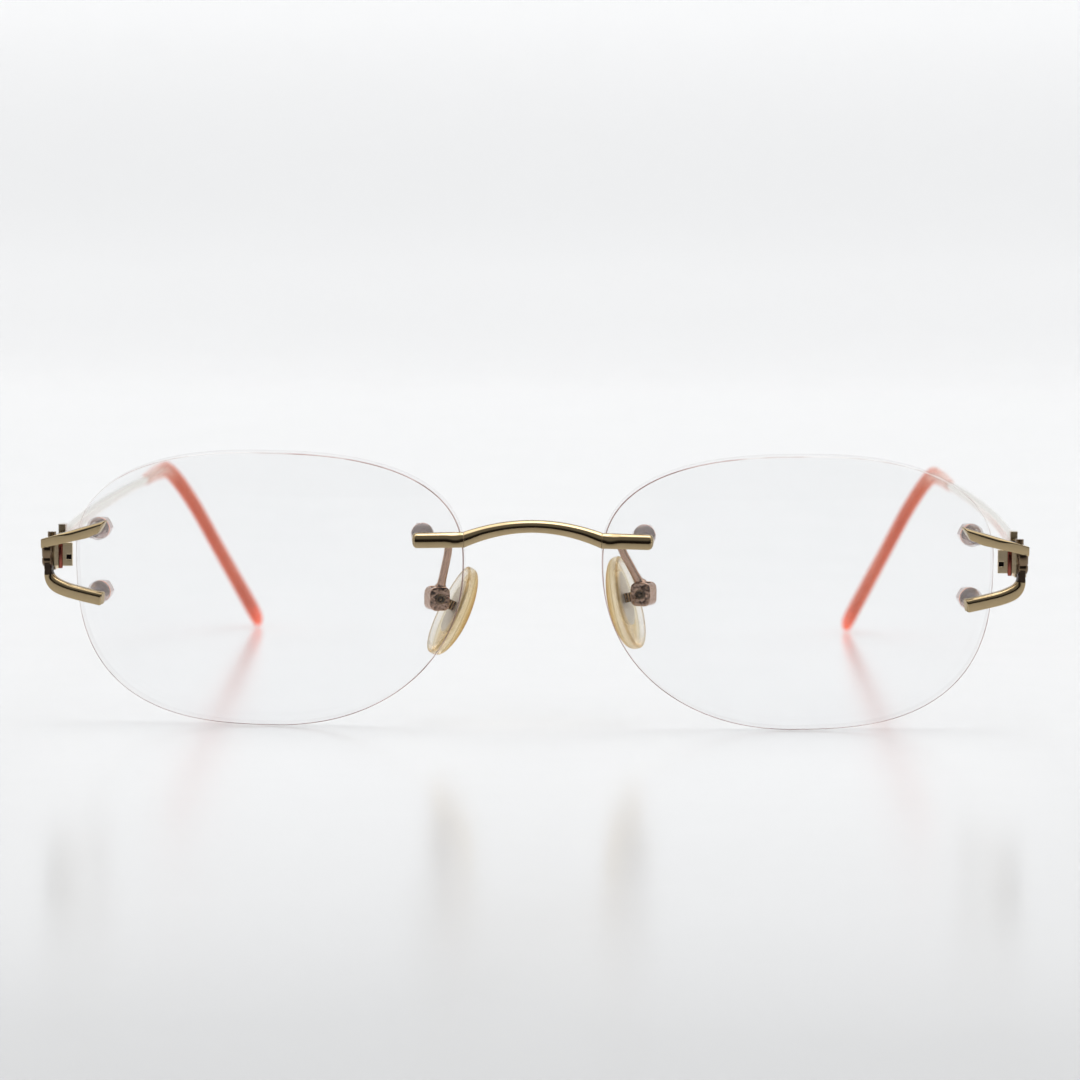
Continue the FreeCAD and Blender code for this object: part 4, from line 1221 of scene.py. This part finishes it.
def make_web(word, side):
    """Upright russet web in front of the hinge leaf."""
    vertices = []
    section = rounded_section(20, 2.4)
    foot = HINGE_FOOT + 0.25
    top = HINGE_TOP - 0.4
    for z, keep in ((foot, 0.9), (foot + 0.1, 1.0), (top - 0.1, 1.0), (top, 0.9)):
        for a, b in section:
            x = HINGE_X - WEB_IN + a * WEB_HALF_WIDE * keep
            vertices.append((x, LEAF_FRONT - 0.05 + b * WEB_HALF_DEEP * keep, z))
    faces = ring_faces(4, 20)
    web = add_mesh(f"hinge_web_{word}_visual", vertices, faces, "front", (RUST,), mirror(side) @ WORLD)
    sharpen(web)


# ---- temple tips

TIP_PATH = [
    (63.0, 87.0, 27.7),
    (62.0, 96.0, 28.3),
    (60.9, 103.0, 27.8),
    (58.1, 110.5, 22.4),
    (54.2, 119.3, 13.1),
    (50.3, 128.0, 3.8),
    (49.0, 131.0, 0.5),
]
# Share of the way, half width and half height.
TIP_SIZES = [
    (0.0, 0.55, 0.75), (0.012, 0.78, 1.0), (0.14, 0.9, 1.25), (0.3, 0.9, 1.35), (0.6, 0.9, 1.5),
    (0.85, 0.92, 1.7), (0.94, 0.86, 1.5), (0.975, 0.68, 1.1), (0.99, 0.42, 0.66), (1.0, 0.12, 0.2),
]
TIP_STEPS = 20
TIP_POINTS = 32


def make_tip(word, side):
    """Acetate sleeve swept down behind the ear, ending in a rounded paddle."""
    place = mirror(side) @ WORLD
    path = spline(TIP_PATH, TIP_STEPS)
    last = len(path) - 1
    vertices = sweep(path, rounded_section(TIP_POINTS, 2.3), lambda share: between(TIP_SIZES, share))
    faces = ring_faces(len(path), TIP_POINTS)
    tip = add_mesh(f"temple_tip_{word}_visual", vertices, faces, f"temple_{word}", (ACETATE,), place)
    paint(tip, "along", [i // TIP_POINTS / last for i in range(len(tip.data.vertices))])
    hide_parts(f"temple_tip_{word}")


# ---- stage

# Metres.
SWEEP_BACK = 0.85
SWEEP_BEND = 0.5
SWEEP_STEPS = 24
STAGE_HALF_WIDE = 2.4
STAGE_FRONT = -1.6
STAGE_TOP = 2.2


def make_table():
    """White table that curves up into a backdrop."""
    outline = [(STAGE_FRONT, 0.0), (-0.4, 0.0), (0.3, 0.0), (SWEEP_BACK, 0.0)]
    for k in range(1, SWEEP_STEPS + 1):
        angle = math.pi / 2 * k / SWEEP_STEPS
        outline.append((SWEEP_BACK + SWEEP_BEND * math.sin(angle), SWEEP_BEND * (1 - math.cos(angle))))
    outline.append((SWEEP_BACK + SWEEP_BEND, STAGE_TOP))
    vertices = []
    for y, z in outline:
        vertices.append((-STAGE_HALF_WIDE, y, z))
        vertices.append((STAGE_HALF_WIDE, y, z))
    faces = [(2 * k, 2 * k + 1, 2 * k + 3, 2 * k + 2) for k in range(len(outline) - 1)]
    mesh = bpy.data.meshes.new("table")
    mesh.from_pydata(vertices, [], faces)
    for polygon in mesh.polygons:
        polygon.use_smooth = True
    mesh.materials.append(TABLE)
    put("table", mesh)


CARD_PLACE = -0.34
CARD_HALF_WIDE = 0.7
CARD_FOOT = 0.001
CARD_TOP = 0.11


def make_card():
    """Dark card between camera and object that only mirrors see."""
    mesh = bpy.data.meshes.new("card")
    spans = ((-1, CARD_FOOT), (1, CARD_FOOT), (1, CARD_TOP), (-1, CARD_TOP))
    corners = [(side * CARD_HALF_WIDE, CARD_PLACE, height) for side, height in spans]
    mesh.from_pydata(corners, [], [(0, 1, 2, 3)])
    mesh.materials.append(BLACK_SHADE)
    card = put("card", mesh)
    card.visible_camera = False
    card.visible_diffuse = False
    card.visible_transmission = False
    card.visible_shadow = False


# What mirrors see: greys, and the parts of a unit direction over which they come in.
WALL_EDGE = (0.1, 0.42)
WALL_GREY = 0.03
WALL_TOP = (0.3, 0.6)
WALL_TOP_GREY = 0.2
ROOM_GREY = 0.95
CEILING_EDGE = (0.6, 0.9)
CEILING_GLOW = 1.7
DAYLIGHT = (0.965, 0.972, 0.98)


def make_world():
    """Bright studio; seen in mirrors, the camera's side is a dark wall under a white ceiling."""
    world = bpy.data.worlds.new("studio")
    bpy.context.scene.world = world
    n = Nodes(world, "ShaderNodeOutputWorld")

    def step(value, edge):
        made = n.add("ShaderNodeMapRange", interpolation_type="SMOOTHSTEP")
        n.feed(made, Value=value, From_Min=edge[0], From_Max=edge[1])
        return made.outputs["Result"]

    direction = n.add("ShaderNodeTexCoord")
    parts = n.add("ShaderNodeSeparateXYZ")
    n.link(direction.outputs["Generated"], parts.inputs[0])
    up = parts.outputs["Z"]
    front_side = step(n.maths("MULTIPLY", parts.outputs["Y"], -1.0), WALL_EDGE)
    wall = n.maths("ADD", WALL_GREY, n.maths("MULTIPLY", step(up, WALL_TOP), WALL_TOP_GREY))
    rest = n.maths("ADD", ROOM_GREY, n.maths("MULTIPLY", step(up, CEILING_EDGE), CEILING_GLOW))
    other_side = n.maths("SUBTRACT", 1.0, front_side)
    level = n.maths("ADD", n.maths("MULTIPLY", front_side, wall), n.maths("MULTIPLY", other_side, rest))
    grey = n.add("ShaderNodeCombineColor")
    for socket in grey.inputs:
        n.link(level, socket)
    path = n.add("ShaderNodeLightPath")
    colour = n.mix_colour(path.outputs["Is Glossy Ray"], DAYLIGHT, grey.outputs[0])
    background = n.feed(n.add("ShaderNodeBackground"), Color=colour, Strength=1.0)
    n.finish(background.outputs[0])


LIGHT_PLACE = Vector((0.1, -0.03, 0.9))
LIGHT_AIM = Vector((0, -0.03, 0))
LIGHT_WIDE = 0.45
LIGHT_POWER = 1.1


def make_light():
    """Round soft light overhead."""
    data = bpy.data.lights.new("overhead", "AREA")
    data.shape = "DISK"
    data.size = LIGHT_WIDE
    data.energy = LIGHT_POWER
    light = put("overhead", data)
    light.location = LIGHT_PLACE
    light.rotation_mode = "QUATERNION"
    light.rotation_quaternion = (LIGHT_AIM - LIGHT_PLACE).to_track_quat("-Z", "Y")
    light.visible_camera = False


# Metres and radians; the lens and the sensor are in millimetres.
CAMERA_PLACE = (0.01396, (FRONT_Y - 560.0) * MM, 0.07511)
CAMERA_YAW = 0.02319
CAMERA_PITCH = -0.08691
CAMERA_ROLL = -0.0059
CAMERA_LENS = 138.2
FOCUS_STOP = 30.0


def make_camera():
    """Camera at the photograph's angle, focused on the lenses."""
    data = bpy.data.cameras.new("camera")
    data.sensor_width = 36.0
    data.lens = CAMERA_LENS
    data.clip_start = 0.01
    data.dof.use_dof = True
    target = put("focus", None)
    target.location = (0, FRONT_Y * MM, LENS_CENTRE_UP * MM)
    data.dof.focus_object = target
    data.dof.aperture_fstop = FOCUS_STOP
    camera = put("camera", data)
    aim = (
        Matrix.Rotation(CAMERA_YAW, 4, "Z") @ Matrix.Rotation(CAMERA_PITCH, 4, "X")
        @ Matrix.Rotation(CAMERA_ROLL, 4, "Y") @ turn("X", 90)
    )
    camera.matrix_world = Matrix.Translation(CAMERA_PLACE) @ aim
    bpy.context.scene.camera = camera


dress_cad()
for word, side in SIDES:
    make_lens(word, side)
    make_pad(word, side)
    make_tip(word, side)
    make_strap(word, side)
    make_arm(word, side)
    make_box(word)
    make_screw(word, side)
    make_fork(word, side)
    make_leaf(word, side)
    make_web(word, side)
make_bridge()
make_table()
make_card()
make_world()
make_light()
make_camera()
bpy.context.scene.view_settings.view_transform = "Standard"
